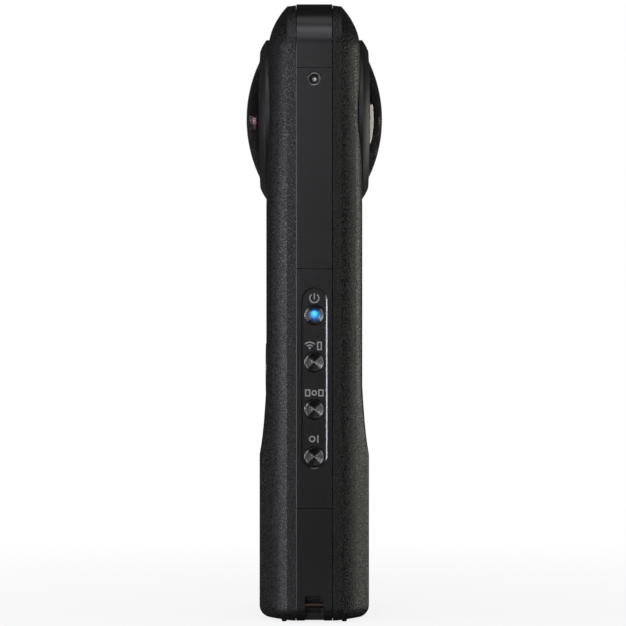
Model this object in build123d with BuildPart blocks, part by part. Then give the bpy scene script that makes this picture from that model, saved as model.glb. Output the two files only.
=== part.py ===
from build123d import *
import math
import os

# A slim hand-held camera with a fisheye lens on each face. Lengths are in millimetres.
# X runs across the width, with the four keys on the +X side. The front, with the shutter
# button and the display, faces -Y. Z is up, and Z = 0 is the plane that the feet stand on.

os.makedirs("parts", exist_ok=True)

# Whole body
body_width = 48.0  # across the two side strips
body_height = 131.9  # from the feet to the top of the strip
corner_radius = 10.0  # top corners of the strip, seen from the front
bottom_radius = 2.8  # bottom corners of the strip, seen from the front
body_floor = 0.4  # underside of the shells above the ground
overrun = 3.0  # how far a cut runs past what it cuts
touch_gap = 0.05  # between fixed pieces that seat on each other
side_gap = 0.15  # between fixed pieces that only lie beside each other

# Cross-section of the two shells
crease_half_depth = 5.8  # where the flat flank turns into the bevel
crease_drop = 0.25  # how far the flank falls away from the strip's edge to the crease
grip_half_depth = 11.75  # flat face of the grip
waist_step = 1.45  # from the grip's face in to the flat face below the lens
top_step = 0.5  # from there in to the flat face near the top
bevel_room = 0.4  # between the bevel and the centre line of the top corners
shell_wall = 1.4
shell_floor = 1.6
strip_proud = 0.2  # how far the strip stands out of the shells
taper_room = 2.6  # from the lens ring down to where the face no longer thins
waist_drop = 3.5  # from the shutter button's middle down to the top of the waist
waist_length = 14.7
waist_height_shares = (0.34, 0.633)  # heights between the waist's ends
waist_depth_shares = (0.503, 0.241)  # how far the face stands out there
knee_reach_share = 0.457  # meeting point of the bevel's first two arcs, along its reach
knee_rise_share = 0.70  # of the rise to the face below the lens, also in the grip
bulge_reach_share = 0.229  # a point that the first arc passes through
bulge_rise_share = 0.385
shoulder_reach_share = 0.719  # where the last arc takes over and rounds into the face
shoulder_rise_share = 0.924
grip_shoulder_inset = 1.86  # how far the grip's thicker bevel moves these two places in
grip_face_inset = 1.06
crease_inset_share = 0.445  # how much the crease moves in when the outline is inset

# Centre strip and its panels
strip_half_width = 3.85
strip_thickness = 1.5
strip_slit = 0.08  # from the strip's edge to the shell's edge
panel_seam = 0.12  # between two panels
panel_edge = 0.12  # chamfer on the panels' long edges
cap_length = 14.3  # from the top of the strip to the lower ends of the top cap
key_panel_top_share = 0.5694  # of the body's height
key_panel_foot_share = 0.185

# Lenses
lens_top_room = 6.5  # from the top of the strip to the ring
ring_margin = 6.6  # from the strip's outer face to the ring
ring_proud = 0.15  # how far the ring's outer wall stands out of the shell
ring_crown_inset = 2.45  # the cone between the ring's outer wall and its flat land
ring_crown_rise = 1.35
ring_cone_swell = 0.12  # how far the cone's middle swells above a straight slope
ring_lip_inset = 4.55
ring_lip_rise = 0.12
ring_slit = 0.15  # from the ring to the shell's round hole
collar_wall = 1.05  # collar inside the shell round the hole
collar_drop = 2.4  # from the flat face near the top to the collar's foot
seal_height = 0.3
flange_height = 0.8
dome_curve_share = 2.315  # radius of the dome's surface, as a share of its edge radius
dome_play = 0.15
dome_flange_reach = 1.25
dome_flange_drop = 2.38  # from the ring's lip to the dome's flange
dome_flange_thickness = 0.95
cavity_share = 0.757  # radius of the dome's hollow, as a share of its edge radius
cavity_curve_share = 1.196  # of the hollow's edge radius
optic_gap = 0.1  # between glass and metal
barrel_share = 0.7935  # outer radius of the second lens's barrel, of the hollow's radius
barrel_rim_share = 0.302  # height of its rim, of the hollow's depth
barrel_wall = 1.0
barrel_plate = 0.85
second_curve_share = 1.452  # of the second lens's edge radius
second_shoulder_share = 0.221  # of the hollow's depth
second_cavity_share = 0.742  # of the second lens's edge radius
second_cavity_curve_share = 1.304  # of the second hollow's edge radius
prism_gap = 0.1  # from the lens ring's flange to the prism's entry face
prism_back = 0.6  # from the mid-plane to the prism
relay_wall = 0.5
relay_start = 3.5
relay_end_inset = 5.0  # from the ring's outer wall to the relay barrel's end
sensor_height = 12.0
sensor_board = 1.0
sensor_chip = 0.5
chip_margin = 0.8

# Optics frame
web_half = 0.45
web_edge = 0.13  # from the lens ring's ears to the web's edge
web_window_room = 2.0  # from the windows to the posts
web_window_height = 4.5
post_clear = 1.4  # from the lens ring's flange to the posts' middles
post_angle = 35.0  # degrees above and below the horizontal
post_radius = 1.6
ear_radius = 1.9
cheek = 1.0  # walls that hold the prisms and the relay barrels
groove_depth = 0.5

# Chassis
rail_gap = 0.2  # from the panels to the rail
rail_thickness = 2.1
rail_side_room = 0.18  # from the rail to the shells
rail_top_room = 0.7  # between the top cap and the rail, for the aerial
rail_top_thickness = 1.9
rail_floor = 3.6
rail_floor_thickness = 1.8
rail_low_corner = 1.5
rib_gap = 0.6  # from the lens ring's flange to the rib
rib_thickness = 1.6

# Base
plate_side = 4.4  # from the strip's outer face to the plate
plate_face = 4.15  # from the grip's face to the plate
plate_corner = 2.2
plate_recess = 0.3  # how far the plate lies inside the shells
plate_thickness = 1.6
foot_inset_x = 2.1  # from the plate's edges to the middle of a foot
foot_inset_y = 1.2
foot_length = 3.0
foot_width = 1.1
foot_edge = 0.15

# Tripod socket, for a quarter-inch photographic screw
thread_radius = 3.25
thread_depth = 6.5
socket_radius = 4.6
socket_height = 7.9
socket_flange_radius = 7.2
socket_flange_height = 0.95
socket_flat = 5.6
thread_lead_in = 0.3

# Connector
port_gap = 0.3  # from the socket's flange to the connector
port_width = 8.94
port_depth = 3.26
port_length = 7.4
port_wall = 0.3
port_tongue_width = 6.69
port_tongue_depth = 0.7
port_tongue_length = 4.45
port_base = 1.2

# Boards
board_front = -1.0
board_thickness = 0.8
board_side_room = 1.6  # from the rail to the board
board_foot = 11.5
board_top_room = 1.2  # from the board up to the rib
board_corner = 1.2
tongue_foot = 3.0
can_side_room = 5.6  # from the board's edge to the can
can_length = 18.0
can_drop = 6.5  # from the shutter button down to the can
can_height = 2.1
can_corner = 1.0
spreader_margin = 1.6
spreader_thickness = 0.3
spreader_gap = 0.2

# Battery
battery_side_room = 3.8  # from the board's edge to the battery
battery_foot = 14.5
battery_top_room = 11.5  # from the battery to the board's top edge
battery_face_room = 1.3  # from the battery to the rear shell
battery_corner = 2.0
tray_gap = 0.5  # from the board to the tray
tray_floor = 0.8
tray_wall = 0.8
tray_lip = 3.2
battery_play = 0.1

# Keys on the +X side
key_radius = 2.1
key_clearance = 0.1
key_lowest_rise_share = 0.215  # of the button panel's length
key_pitch_share = 0.1972
key_count = 4
key_flange_radius = 2.7
key_flange_thickness = 0.4
key_flange_gap = 0.2
key_stem_radius = 1.0
key_stem = 0.35
key_travel = 0.3
key_dish_radius = 1.75
key_dish_depth = 0.25
key_rim_chamfer = 0.1
dish_middle_share = 0.25  # rise of a dish halfway to its rim, of its depth
key_sink = 0.05  # below the strip's surface
recess_width = 5.5
recess_end = 4.2  # from the last key's middle to the recess's end
recess_depth = 0.2
recess_slope = 0.15  # how far its floor's outline lies inside its mouth
recess_shift = 1.6  # from the middle of the keys up to the middle of the recess
key_board_thickness = 0.8
key_board_margin = 1.6
key_board_gap = 0.1
switch_side = 3.0
switch_slack = 0.05  # left between stem and switch at full travel
lamp_radius = 0.95

# Shutter button on the front
shutter_rise = 3.2  # from the middle of the keys up to the shutter button
shutter_radius = 5.725
shutter_clearance = 0.15
shutter_proud = 0.3
shutter_dish = 0.25
shutter_rim = 0.45
shutter_edge = 0.2
shutter_flange = 0.9
shutter_flange_thickness = 0.5
shutter_flange_gap = 0.3
shutter_stem_radius = 1.5
shutter_travel = 0.5
shutter_switch_side = 5.0
shutter_switch_height = 1.5
shutter_plunger_radius = 1.2
shutter_plunger = 0.55

# Display on the front of the grip
window_width = 11.4
window_foot_share = 0.0948  # of the body's height
window_top_share = 0.2115
window_corner = 1.0
window_thickness = 0.9
window_land = 1.0  # ledge that the glass is glued to
gasket_thickness = 0.4
gasket_wall = 1.2
display_thickness = 1.35
display_margin = 0.6

# Strap slot in the lower right panel
slot_front = -2.0
slot_rear = 1.5
slot_top = 5.9
slot_corner = 0.5
slot_step = 0.5  # shallow step behind the slot, which the pin's end lies in
slot_step_top = 5.2
slot_step_depth = 1.2
notch_half_width = 2.0
notch_height = 0.3
pocket_depth = 3.2
pocket_wall = 0.8
pin_height = 3.8
pin_radius = 0.55
pin_inset = 1.5
pin_bite = 0.6

# Microphones and speaker
port_hole_drop = 2.4  # from the top cap's lower end to the microphone port
trim_radius = 1.45
trim_clearance = 0.1
trim_hole = 0.45
trim_dish = 0.7
trim_rim = 0.2
trim_length = 1.6
trim_sink = 0.05
microphone_width = 3.2
microphone_height = 4.0
microphone_thickness = 1.2
speaker_half_width = 7.5
speaker_height = 9.0
speaker_room = 1.15  # from the rail to the speaker
speaker_hole = 0.4
speaker_hole_pitch = 1.6
speaker_hole_count = 5
speaker_corner = 1.5
antenna_end_room = 4.0  # from the top corner's centre line to the aerial
antenna_half_width = 3.0
antenna_thickness = 0.3

# Fasteners
low_ear_height = 16.0  # screws that hold the shells to the chassis
high_ear_rise = 7.9  # from the button panel up to the upper screws
ear_half_height = 2.6
ear_thickness = 0.8
ear_sink = 0.5  # below the panels
ear_tip = 0.3
side_screw_y = 2.1
screw_radius = 0.6
screw_clearance = 0.05
screw_head_radius = 1.15
screw_head_height = 0.4
side_screw_length = 2.6
boss_radius = 1.4
boss_height = 1.0
base_screw_inset = 2.4
base_screw_y = -3.6
base_screw_length = 3.9
optics_screw_length = 4.0
ledge_height = 20.0  # ledges and lugs that the main board is screwed to
ledge_half_height = 2.4
ledge_thickness = 1.0
lug_x = 8.0
lug_half_width = 2.0
lug_length = 4.6
lug_screw_drop = 1.9  # from the board's top edge
board_screw_length = 1.6

# Flexible circuits
flex_side_room = 0.6  # from the sensor's edges to its flexible circuit
flex_thickness = 0.15
flex_bend = 1.0
flex_landing = 5.0  # how much of the key circuit lies along the main board
flex_drop = 4.0  # how far they run down past the board's top edge

# Worked out from the sizes above
strip_reach = body_width / 2
shell_reach = strip_reach - strip_proud
shell_edge = strip_half_width + strip_slit
corner_x = strip_reach - corner_radius
corner_z = body_height - corner_radius
panel_back = strip_reach - strip_thickness
upper_half_depth = grip_half_depth - waist_step
top_half_depth = upper_half_depth - top_step
bevel_reach = corner_radius - strip_proud - bevel_room
grip_inner = grip_half_depth - shell_wall
cap_foot = body_height - cap_length
port_hole_height = cap_foot - port_hole_drop
key_panel_top = body_height * key_panel_top_share
key_panel_foot = body_height * key_panel_foot_share
key_panel_length = key_panel_top - key_panel_foot
key_lowest = key_panel_foot + key_panel_length * key_lowest_rise_share
key_pitch = key_panel_length * key_pitch_share
key_middle = key_lowest + key_pitch * (key_count - 1) / 2
recess_centre = key_middle + recess_shift
recess_length = key_pitch * (key_count - 1) + 2 * recess_end
shutter_height = key_middle + shutter_rise
waist_top = shutter_height - waist_drop
waist_foot = waist_top - waist_length
window_foot = body_height * window_foot_share
window_top = body_height * window_top_share

ring_radius = strip_reach - ring_margin
ring_crown_radius = ring_radius - ring_crown_inset
ring_lip_radius = ring_radius - ring_lip_inset
ring_shoulder = upper_half_depth + ring_proud
ring_crown = ring_shoulder + ring_crown_rise
ring_lip = ring_crown + ring_lip_rise
lens_height = body_height - lens_top_room - ring_radius
taper_foot = lens_height - ring_radius - taper_room
hole_radius = ring_radius + ring_slit
collar_foot = top_half_depth - collar_drop
flange_top = collar_foot - seal_height
flange_foot = flange_top - flange_height
flange_radius = hole_radius + collar_wall
dome_radius = ring_lip_radius - dome_play
dome_curve = dome_radius * dome_curve_share
dome_shoulder = ring_lip + touch_gap
dome_apex = dome_shoulder + dome_curve - math.sqrt(dome_curve**2 - dome_radius**2)
dome_flange_radius = dome_radius + dome_flange_reach
dome_flange_top = ring_lip - dome_flange_drop
dome_foot = dome_flange_top - dome_flange_thickness
cavity_radius = dome_radius * cavity_share
cavity_curve = cavity_radius * cavity_curve_share
cavity_sag = cavity_curve - math.sqrt(cavity_curve**2 - cavity_radius**2)
second_radius = cavity_radius * barrel_share - barrel_wall - optic_gap
second_curve = second_radius * second_curve_share
second_shoulder = dome_foot + cavity_sag * second_shoulder_share
second_foot = dome_foot + optic_gap
second_cavity_radius = second_radius * second_cavity_share
second_cavity_curve = second_cavity_radius * second_cavity_curve_share
barrel_rim = dome_foot + cavity_sag * barrel_rim_share
prism_face = flange_foot - prism_gap
prism_side = prism_face - prism_back
half_prism = prism_side / 2
relay_radius = half_prism
relay_bore = relay_radius - relay_wall
relay_end = ring_radius - relay_end_inset
sensor_width = prism_side
flex_width = sensor_width - 2 * flex_side_room
post_circle = flange_radius + post_clear
post_x = post_circle * math.cos(math.radians(post_angle))
post_z = post_circle * math.sin(math.radians(post_angle))
web_half_height = post_z + ear_radius + web_edge
web_window_width = post_x - post_radius - web_window_room - half_prism - cheek

rail_outer = panel_back - rail_gap - crease_drop
rail_inner = rail_outer - rail_thickness
rail_half_depth = crease_half_depth - shell_wall * crease_inset_share - rail_side_room
rail_top = body_height - strip_thickness - rail_top_room
rail_outer_corner = corner_radius - strip_thickness - rail_top_room
rail_inner_corner = rail_outer_corner - rail_top_thickness
rib_foot = lens_height - flange_radius - rib_gap - rib_thickness
web_half_width = rail_inner + groove_depth - 2 * touch_gap
ear_heights = (low_ear_height, key_panel_top + high_ear_rise)
plate_half_width = strip_reach - plate_side
plate_half_depth = grip_half_depth - plate_face
foot_x = plate_half_width - foot_inset_x
foot_y = plate_half_depth - foot_inset_y
base_screw_x = plate_half_width - base_screw_inset
port_x = -(socket_flat + port_gap + port_width / 2)
board_half_width = rail_inner - board_side_room
board_top = rib_foot - board_top_room
can_half_width = board_half_width - can_side_room
can_top = shutter_height - can_drop
can_foot = can_top - can_length
battery_half_width = board_half_width - battery_side_room
battery_top = board_top - battery_top_room
tray_half_width = battery_half_width + battery_play + tray_wall
ledge_start = tray_half_width + 2 * side_gap
board_screw_x = (ledge_start + board_half_width) / 2
board_screw_spots = (
    (board_screw_x, ledge_height),
    (-board_screw_x, ledge_height),
    (lug_x, board_top - lug_screw_drop),
    (-lug_x, board_top - lug_screw_drop),
)
speaker_thickness = grip_inner - 2 * side_gap - rail_half_depth - speaker_room
antenna_half_length = corner_x - antenna_end_room
cavity_floor = body_floor + shell_floor
plate_foot = body_floor + plate_recess
plate_top = plate_foot + plate_thickness
board_rear = board_front + board_thickness
key_face = strip_reach - key_sink
key_flange_top = panel_back - key_flange_gap
key_flange_foot = key_flange_top - key_flange_thickness
key_stem_end = key_flange_foot - key_stem
key_switch_top = key_stem_end - key_travel - switch_slack
key_heights = [key_lowest + key_pitch * i for i in range(key_count)]
key_window_half = key_flange_radius + 2 * side_gap
port_y = board_rear + port_depth / 2
tray_front = board_rear + tray_gap
battery_front = tray_front + tray_floor + battery_play
battery_thickness = upper_half_depth - shell_wall - battery_face_room - battery_front
shutter_face = upper_half_depth + shutter_proud
shutter_flange_top = upper_half_depth - shell_wall - shutter_flange_gap
shutter_flange_foot = shutter_flange_top - shutter_flange_thickness
shutter_plunger_top = -board_front + shutter_switch_height + shutter_plunger
shutter_stem_end = shutter_plunger_top + shutter_travel + switch_slack
window_middle = (window_foot + window_top) / 2
window_height = window_top - window_foot

lens_axis = Axis((0, 0, lens_height), (0, 1, 0))
sides = (("front", -1), ("rear", 1))


def finish(piece, name):
    """Labels a finished piece and writes it to its own file."""
    piece.part.label = name
    export_step(piece.part, f"parts/{name}.step")


def block(low, high, mode=Mode.ADD):
    """Adds a box between two opposite corners."""
    size = [abs(b - a) for a, b in zip(low, high)]
    middle = tuple((a + b) / 2 for a, b in zip(low, high))
    with Locations(middle):
        Box(*size, mode=mode)


def rod(start, direction, radius, length, mode=Mode.ADD):
    """Adds a cylinder that starts at a point and runs along a direction."""
    with Locations(Plane(origin=start, z_dir=direction)):
        Cylinder(radius, length, align=(Align.CENTER, Align.CENTER, Align.MIN), mode=mode)


def face_plane(facing, out, height):
    """A plane parallel to a face of the camera, looking outwards on that side."""
    return Plane(origin=(0, facing * out, height), x_dir=(-facing, 0, 0), z_dir=(0, facing, 0))


def revolve_plane(facing, height):
    """A plane for profiles about an axis along Y: its x is the radius, its y points outwards."""
    return Plane(origin=(0, 0, height), x_dir=(1, 0, 0), z_dir=(0, 0, facing))


def key_plane(height):
    """A plane for profiles about an axis along X: its x is the radius, its y points to +X."""
    return Plane(origin=(0, 0, height), x_dir=(0, 0, 1), z_dir=(0, 1, 0))


def draw_flank(inset, depth, root):
    """Draws a quarter of the body's outline, from the flank's middle to the face's middle."""
    reach = shell_reach - inset
    crease = crease_half_depth - inset * crease_inset_share
    bevel = bevel_reach - inset
    face = depth - inset
    swell = max(depth - upper_half_depth, 0)
    rise = face - swell - crease
    swell_share = swell / waist_step
    knee = (reach - bevel * knee_reach_share, crease + rise * knee_rise_share)
    bulge = (reach - bevel * bulge_reach_share, crease + rise * bulge_rise_share)
    shoulder = (
        reach - bevel * shoulder_reach_share - swell_share * grip_shoulder_inset,
        crease + (face - crease) * shoulder_rise_share,
    )
    face_edge = reach - bevel - swell_share * grip_face_inset
    Line((reach, 0), (reach, strip_half_width))
    Line((reach, strip_half_width), (reach - crease_drop, crease))
    lower_arc = ThreePointArc((reach - crease_drop, crease), bulge, knee)
    TangentArc(knee, shoulder, tangent=lower_arc % 1)
    TangentArc((face_edge, face), shoulder, tangent=(1, 0))
    Line((face_edge, face), (root, face))


def section(height, depth, inset):
    """The body's full outline at one height."""
    with BuildSketch(Plane.XY.offset(height)) as outline:
        with BuildLine():
            draw_flank(inset, depth, 0)
            mirror(about=Plane.XZ)
            mirror(about=Plane.YZ)
        make_face()
    return outline.sketch


def end_section(plane, inset):
    """Half of the outline near the top, from the corner's centre line outwards."""
    with BuildSketch(plane) as outline:
        with BuildLine():
            draw_flank(inset, top_half_depth, corner_x)
            Line((corner_x, top_half_depth - inset), (corner_x, 0))
            Line((corner_x, 0), (shell_reach - inset, 0))
        make_face()
        mirror(about=Plane.XZ)
    return outline.sketch


def body_form(inset, floor, bottom_fillet):
    """The whole outer form moved inwards by an inset, which the shells are cut from."""
    stations = [(waist_foot, grip_half_depth)]
    for height_share, depth_share in zip(waist_height_shares, waist_depth_shares):
        height = waist_foot + (waist_top - waist_foot) * height_share
        depth = upper_half_depth + (grip_half_depth - upper_half_depth) * depth_share
        stations.append((height, depth))
    stations.append((waist_top, upper_half_depth))
    with BuildPart() as form:
        extrude(section(floor, grip_half_depth, inset), amount=waist_foot - floor)
        if bottom_fillet:
            fillet(form.edges().group_by(Axis.Z)[0], bottom_fillet)
        loft([section(height, depth, inset) for height, depth in stations])
        extrude(section(waist_top, upper_half_depth, inset), amount=taper_foot - waist_top)
        loft([section(taper_foot, upper_half_depth, inset), section(corner_z, top_half_depth, inset)])
        for side in (1, -1):
            plane = Plane(origin=(0, 0, corner_z), x_dir=(side, 0, 0), z_dir=(0, 0, side))
            corner_axis = Axis((side * corner_x, 0, corner_z), (0, -side, 0))
            revolve(end_section(plane, inset), corner_axis, 90)
        crown = Plane(origin=(-corner_x, 0, corner_z - corner_x), x_dir=(0, 0, 1), z_dir=(1, 0, 0))
        extrude(end_section(crown, inset), amount=2 * corner_x)
    return form.part


def rounded_front(half_width, low, high, top_radius, low_radius):
    """A rectangle seen from the front, with its own radii for the top and bottom corners."""
    with BuildSketch(Plane.XZ) as outline:
        with Locations((0, (low + high) / 2)):
            Rectangle(2 * half_width, high - low)
        if top_radius:
            fillet(outline.vertices().group_by(Axis.Y)[-1], top_radius)
        if low_radius:
            fillet(outline.vertices().group_by(Axis.Y)[0], low_radius)
    return outline.sketch


def strip_part(low, high):
    """The stretch of the centre strip between two heights, on both sides of the body."""
    back = strip_thickness
    with BuildPart() as strip:
        extrude(
            rounded_front(strip_reach, body_floor, body_height, corner_radius, bottom_radius),
            amount=strip_half_width,
            both=True,
        )
        long_edges = strip.faces().group_by(Axis.Y)
        chamfer(long_edges[0].edges() + long_edges[-1].edges(), panel_edge)
        extrude(
            rounded_front(
                panel_back,
                body_floor + back,
                body_height - back,
                corner_radius - back,
                bottom_radius - back,
            ),
            amount=strip_half_width + overrun,
            both=True,
            mode=Mode.SUBTRACT,
        )
        wide = strip_reach + overrun
        block((-wide, -overrun - strip_half_width, low), (wide, overrun + strip_half_width, high),
              mode=Mode.INTERSECT)
    return strip.part


# The two shells
outer_form = body_form(0, body_floor, bottom_radius - strip_proud)
cavity_form = body_form(shell_wall, cavity_floor, 0)
ear_foot = panel_back - ear_sink - ear_thickness
ear_top = panel_back - ear_sink
cavity_reach = shell_reach - shell_wall


def shell_blank(facing):
    """One shell with its collar and its screw ears, before the openings of its own side."""
    out = Plane(origin=(0, facing * shell_edge, 0), z_dir=(0, facing, 0))
    with BuildPart() as collar:
        rod((0, facing * collar_foot, lens_height), (0, facing, 0), flange_radius, upper_half_depth)
        add(outer_form, mode=Mode.INTERSECT)
    with BuildPart() as blank:
        add(outer_form)
        add(cavity_form, mode=Mode.SUBTRACT)
        split(bisect_by=out, keep=Keep.TOP)
        add(collar.part)
        rod((0, facing * (collar_foot - overrun), lens_height), (0, facing, 0), hole_radius,
            upper_half_depth, mode=Mode.SUBTRACT)
        wide = plate_half_width + side_gap
        deep = plate_half_depth + side_gap
        with BuildSketch(Plane.XY.offset(body_floor - overrun)):
            RectangleRounded(2 * wide, 2 * deep, plate_corner + side_gap)
        extrude(amount=2 * overrun, mode=Mode.SUBTRACT)
        for height in ear_heights:
            low = height - ear_half_height
            high = height + ear_half_height
            for side in (1, -1):
                block((side * ear_foot, facing * ear_tip, low),
                      (side * ear_top, facing * rail_half_depth, high))
                block((side * ear_foot, facing * shell_edge, low),
                      (side * (cavity_reach + ear_tip), facing * rail_half_depth, high))
                rod((side * (ear_foot - overrun), facing * side_screw_y, height), (side, 0, 0),
                    screw_radius + screw_clearance, 2 * overrun, mode=Mode.SUBTRACT)
    return blank.part


front_blank = shell_blank(-1)
with BuildPart() as front_shell:
    add(front_blank)
    rod((0, -grip_half_depth, shutter_height), (0, 1, 0), shutter_radius + shutter_clearance,
        grip_half_depth - shell_wall - overrun, mode=Mode.SUBTRACT)
    pocket = face_plane(-1, grip_half_depth, window_middle)
    with BuildSketch(pocket):
        RectangleRounded(window_width + 2 * side_gap, window_height + 2 * side_gap,
                         window_corner + side_gap)
    extrude(amount=-(window_thickness + touch_gap), mode=Mode.SUBTRACT)
    with BuildSketch(pocket):
        RectangleRounded(window_width - 2 * window_land, window_height - 2 * window_land,
                         window_corner)
    extrude(amount=-(shell_wall + overrun), mode=Mode.SUBTRACT)
finish(front_shell, "front_shell")

rear_blank = shell_blank(1)
speaker_middle = rail_floor + speaker_height / 2
with BuildPart() as rear_shell:
    add(rear_blank)
    with Locations(face_plane(1, grip_half_depth, speaker_middle)):
        with GridLocations(speaker_hole_pitch, 0, speaker_hole_count, 1):
            Cylinder(speaker_hole, 2 * shell_wall + overrun, mode=Mode.SUBTRACT)
finish(rear_shell, "rear_shell")

# The centre strip: a cap over the top and panels down both sides
half_seam = panel_seam / 2
with BuildPart() as top_cap:
    add(strip_part(cap_foot + half_seam, body_height + overrun))
finish(top_cap, "top_cap")


def side_panel(side, low, high):
    """A flat panel of the strip on one side of the body."""
    with BuildPart() as panel:
        add(strip_part(low, high))
        deep = strip_half_width + overrun
        block((side * plate_half_width + side * side_gap, -deep, low),
              (side * (strip_reach + overrun), deep, high), mode=Mode.INTERSECT)
    return panel.part


trim_mouth = strip_reach - trim_sink
with BuildPart() as upper_right_panel:
    add(side_panel(1, key_panel_top + half_seam, cap_foot - half_seam))
    rod((panel_back - overrun, 0, port_hole_height), (1, 0, 0), trim_radius + trim_clearance,
        strip_thickness + 2 * overrun, mode=Mode.SUBTRACT)
finish(upper_right_panel, "upper_right_panel")

with BuildPart() as button_panel:
    add(side_panel(1, key_panel_foot + half_seam, key_panel_top - half_seam))
    mouth_plane = Plane(origin=(strip_reach, 0, recess_centre), x_dir=(0, 0, 1), z_dir=(1, 0, 0))
    with BuildSketch(mouth_plane):
        SlotOverall(recess_length, recess_width)
    with BuildSketch(mouth_plane.offset(-recess_depth)):
        SlotOverall(recess_length - 2 * recess_slope, recess_width - 2 * recess_slope)
    loft(mode=Mode.SUBTRACT)
    for height in key_heights:
        rod((panel_back - overrun, 0, height), (1, 0, 0), key_radius + key_clearance,
            strip_thickness + 2 * overrun, mode=Mode.SUBTRACT)
finish(button_panel, "button_panel")

pocket_back = panel_back + pocket_wall - pocket_depth
pin_x = strip_reach - pin_inset
pin_front = slot_front - pin_bite
pin_rear = slot_rear + slot_step + pin_bite
with BuildPart() as lower_right_panel:
    add(side_panel(1, body_floor, key_panel_foot - half_seam))
    block((pocket_back - pocket_wall, slot_front - pocket_wall, plate_top + side_gap),
          (panel_back + half_seam, slot_rear + slot_step + pocket_wall, slot_top + pocket_wall))
    block((pocket_back, slot_front, body_floor - overrun),
          (strip_reach + overrun, slot_rear, slot_top), mode=Mode.SUBTRACT)
    block((pocket_back, -notch_half_width, body_floor - overrun),
          (strip_reach + overrun, notch_half_width, body_floor + notch_height), mode=Mode.SUBTRACT)
    slot_edges = lower_right_panel.edges().filter_by(Axis.X).filter_by_position(
        Axis.Z, slot_top - half_seam, slot_top + half_seam)
    fillet(slot_edges, slot_corner)
    block((strip_reach - slot_step_depth, slot_front, body_floor - overrun),
          (strip_reach + overrun, slot_rear + slot_step, slot_step_top), mode=Mode.SUBTRACT)
    rod((pin_x, pin_front, pin_height), (0, 1, 0), pin_radius + touch_gap, pin_rear - pin_front,
        mode=Mode.SUBTRACT)
finish(lower_right_panel, "lower_right_panel")

with BuildPart() as strap_pin:
    rod((pin_x, pin_front + touch_gap, pin_height), (0, 1, 0), pin_radius,
        pin_rear - pin_front - 2 * touch_gap)
finish(strap_pin, "strap_pin")

with BuildPart() as left_panel:
    add(side_panel(-1, key_panel_foot + half_seam, cap_foot - half_seam))
    rod((-panel_back + overrun, 0, port_hole_height), (-1, 0, 0), trim_radius + trim_clearance,
        strip_thickness + 2 * overrun, mode=Mode.SUBTRACT)
finish(left_panel, "left_panel")

with BuildPart() as lower_left_panel:
    add(side_panel(-1, body_floor, key_panel_foot - half_seam))
finish(lower_left_panel, "lower_left_panel")

# The base plate, its feet and what passes through it
with BuildPart() as base_plate:
    with BuildSketch(Plane.XY.offset(plate_foot)):
        RectangleRounded(2 * plate_half_width, 2 * plate_half_depth, plate_corner)
        Circle(socket_radius + side_gap, mode=Mode.SUBTRACT)
        with Locations((port_x, port_y)):
            SlotOverall(port_width + 2 * side_gap, port_depth + 2 * side_gap, mode=Mode.SUBTRACT)
        with Locations((base_screw_x, base_screw_y), (-base_screw_x, base_screw_y)):
            Circle(screw_radius + screw_clearance, mode=Mode.SUBTRACT)
    extrude(amount=plate_thickness)
    with Locations((base_screw_x, base_screw_y, plate_foot), (-base_screw_x, base_screw_y, plate_foot)):
        Cylinder(screw_head_radius + screw_clearance, 2 * screw_head_height, mode=Mode.SUBTRACT)
finish(base_plate, "base_plate")

with BuildPart() as feet:
    with BuildSketch():
        with GridLocations(2 * foot_x, 2 * foot_y, 2, 2):
            SlotOverall(foot_length, foot_width)
    extrude(amount=plate_foot)
    chamfer(feet.faces().group_by(Axis.Z)[0].edges(), foot_edge)
finish(feet, "feet")

flange_low = plate_top + touch_gap
with BuildPart() as tripod_socket:
    rod((0, 0, plate_foot), (0, 0, 1), socket_radius, socket_height)
    with BuildSketch(Plane.XY.offset(flange_low)):
        Circle(socket_flange_radius)
        Rectangle(2 * socket_flat, 2 * socket_flange_radius, mode=Mode.INTERSECT)
    extrude(amount=socket_flange_height)
    rod((0, 0, plate_foot - overrun), (0, 0, 1), thread_radius, thread_depth + overrun,
        mode=Mode.SUBTRACT)
    mouth = tripod_socket.edges().filter_by(GeomType.CIRCLE).group_by(Axis.Z)[0].sort_by(SortBy.RADIUS)[0]
    chamfer(mouth, thread_lead_in)
finish(tripod_socket, "tripod_socket")

with BuildPart() as usb_connector:
    with BuildSketch(Plane.XY.offset(plate_foot)):
        with Locations((port_x, port_y)):
            SlotOverall(port_width, port_depth)
    extrude(amount=port_length)
    with BuildSketch(Plane.XY.offset(plate_foot)):
        with Locations((port_x, port_y)):
            SlotOverall(port_width - 2 * port_wall, port_depth - 2 * port_wall)
    extrude(amount=port_length - port_base, mode=Mode.SUBTRACT)
    tongue_y = port_y - port_tongue_depth / 2
    tongue_x = port_x - port_tongue_width / 2
    tongue_top = plate_foot + port_length - port_base
    block((tongue_x, tongue_y, tongue_top - port_tongue_length),
          (tongue_x + port_tongue_width, tongue_y + port_tongue_depth, tongue_top + port_wall))
finish(usb_connector, "usb_connector")

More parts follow.
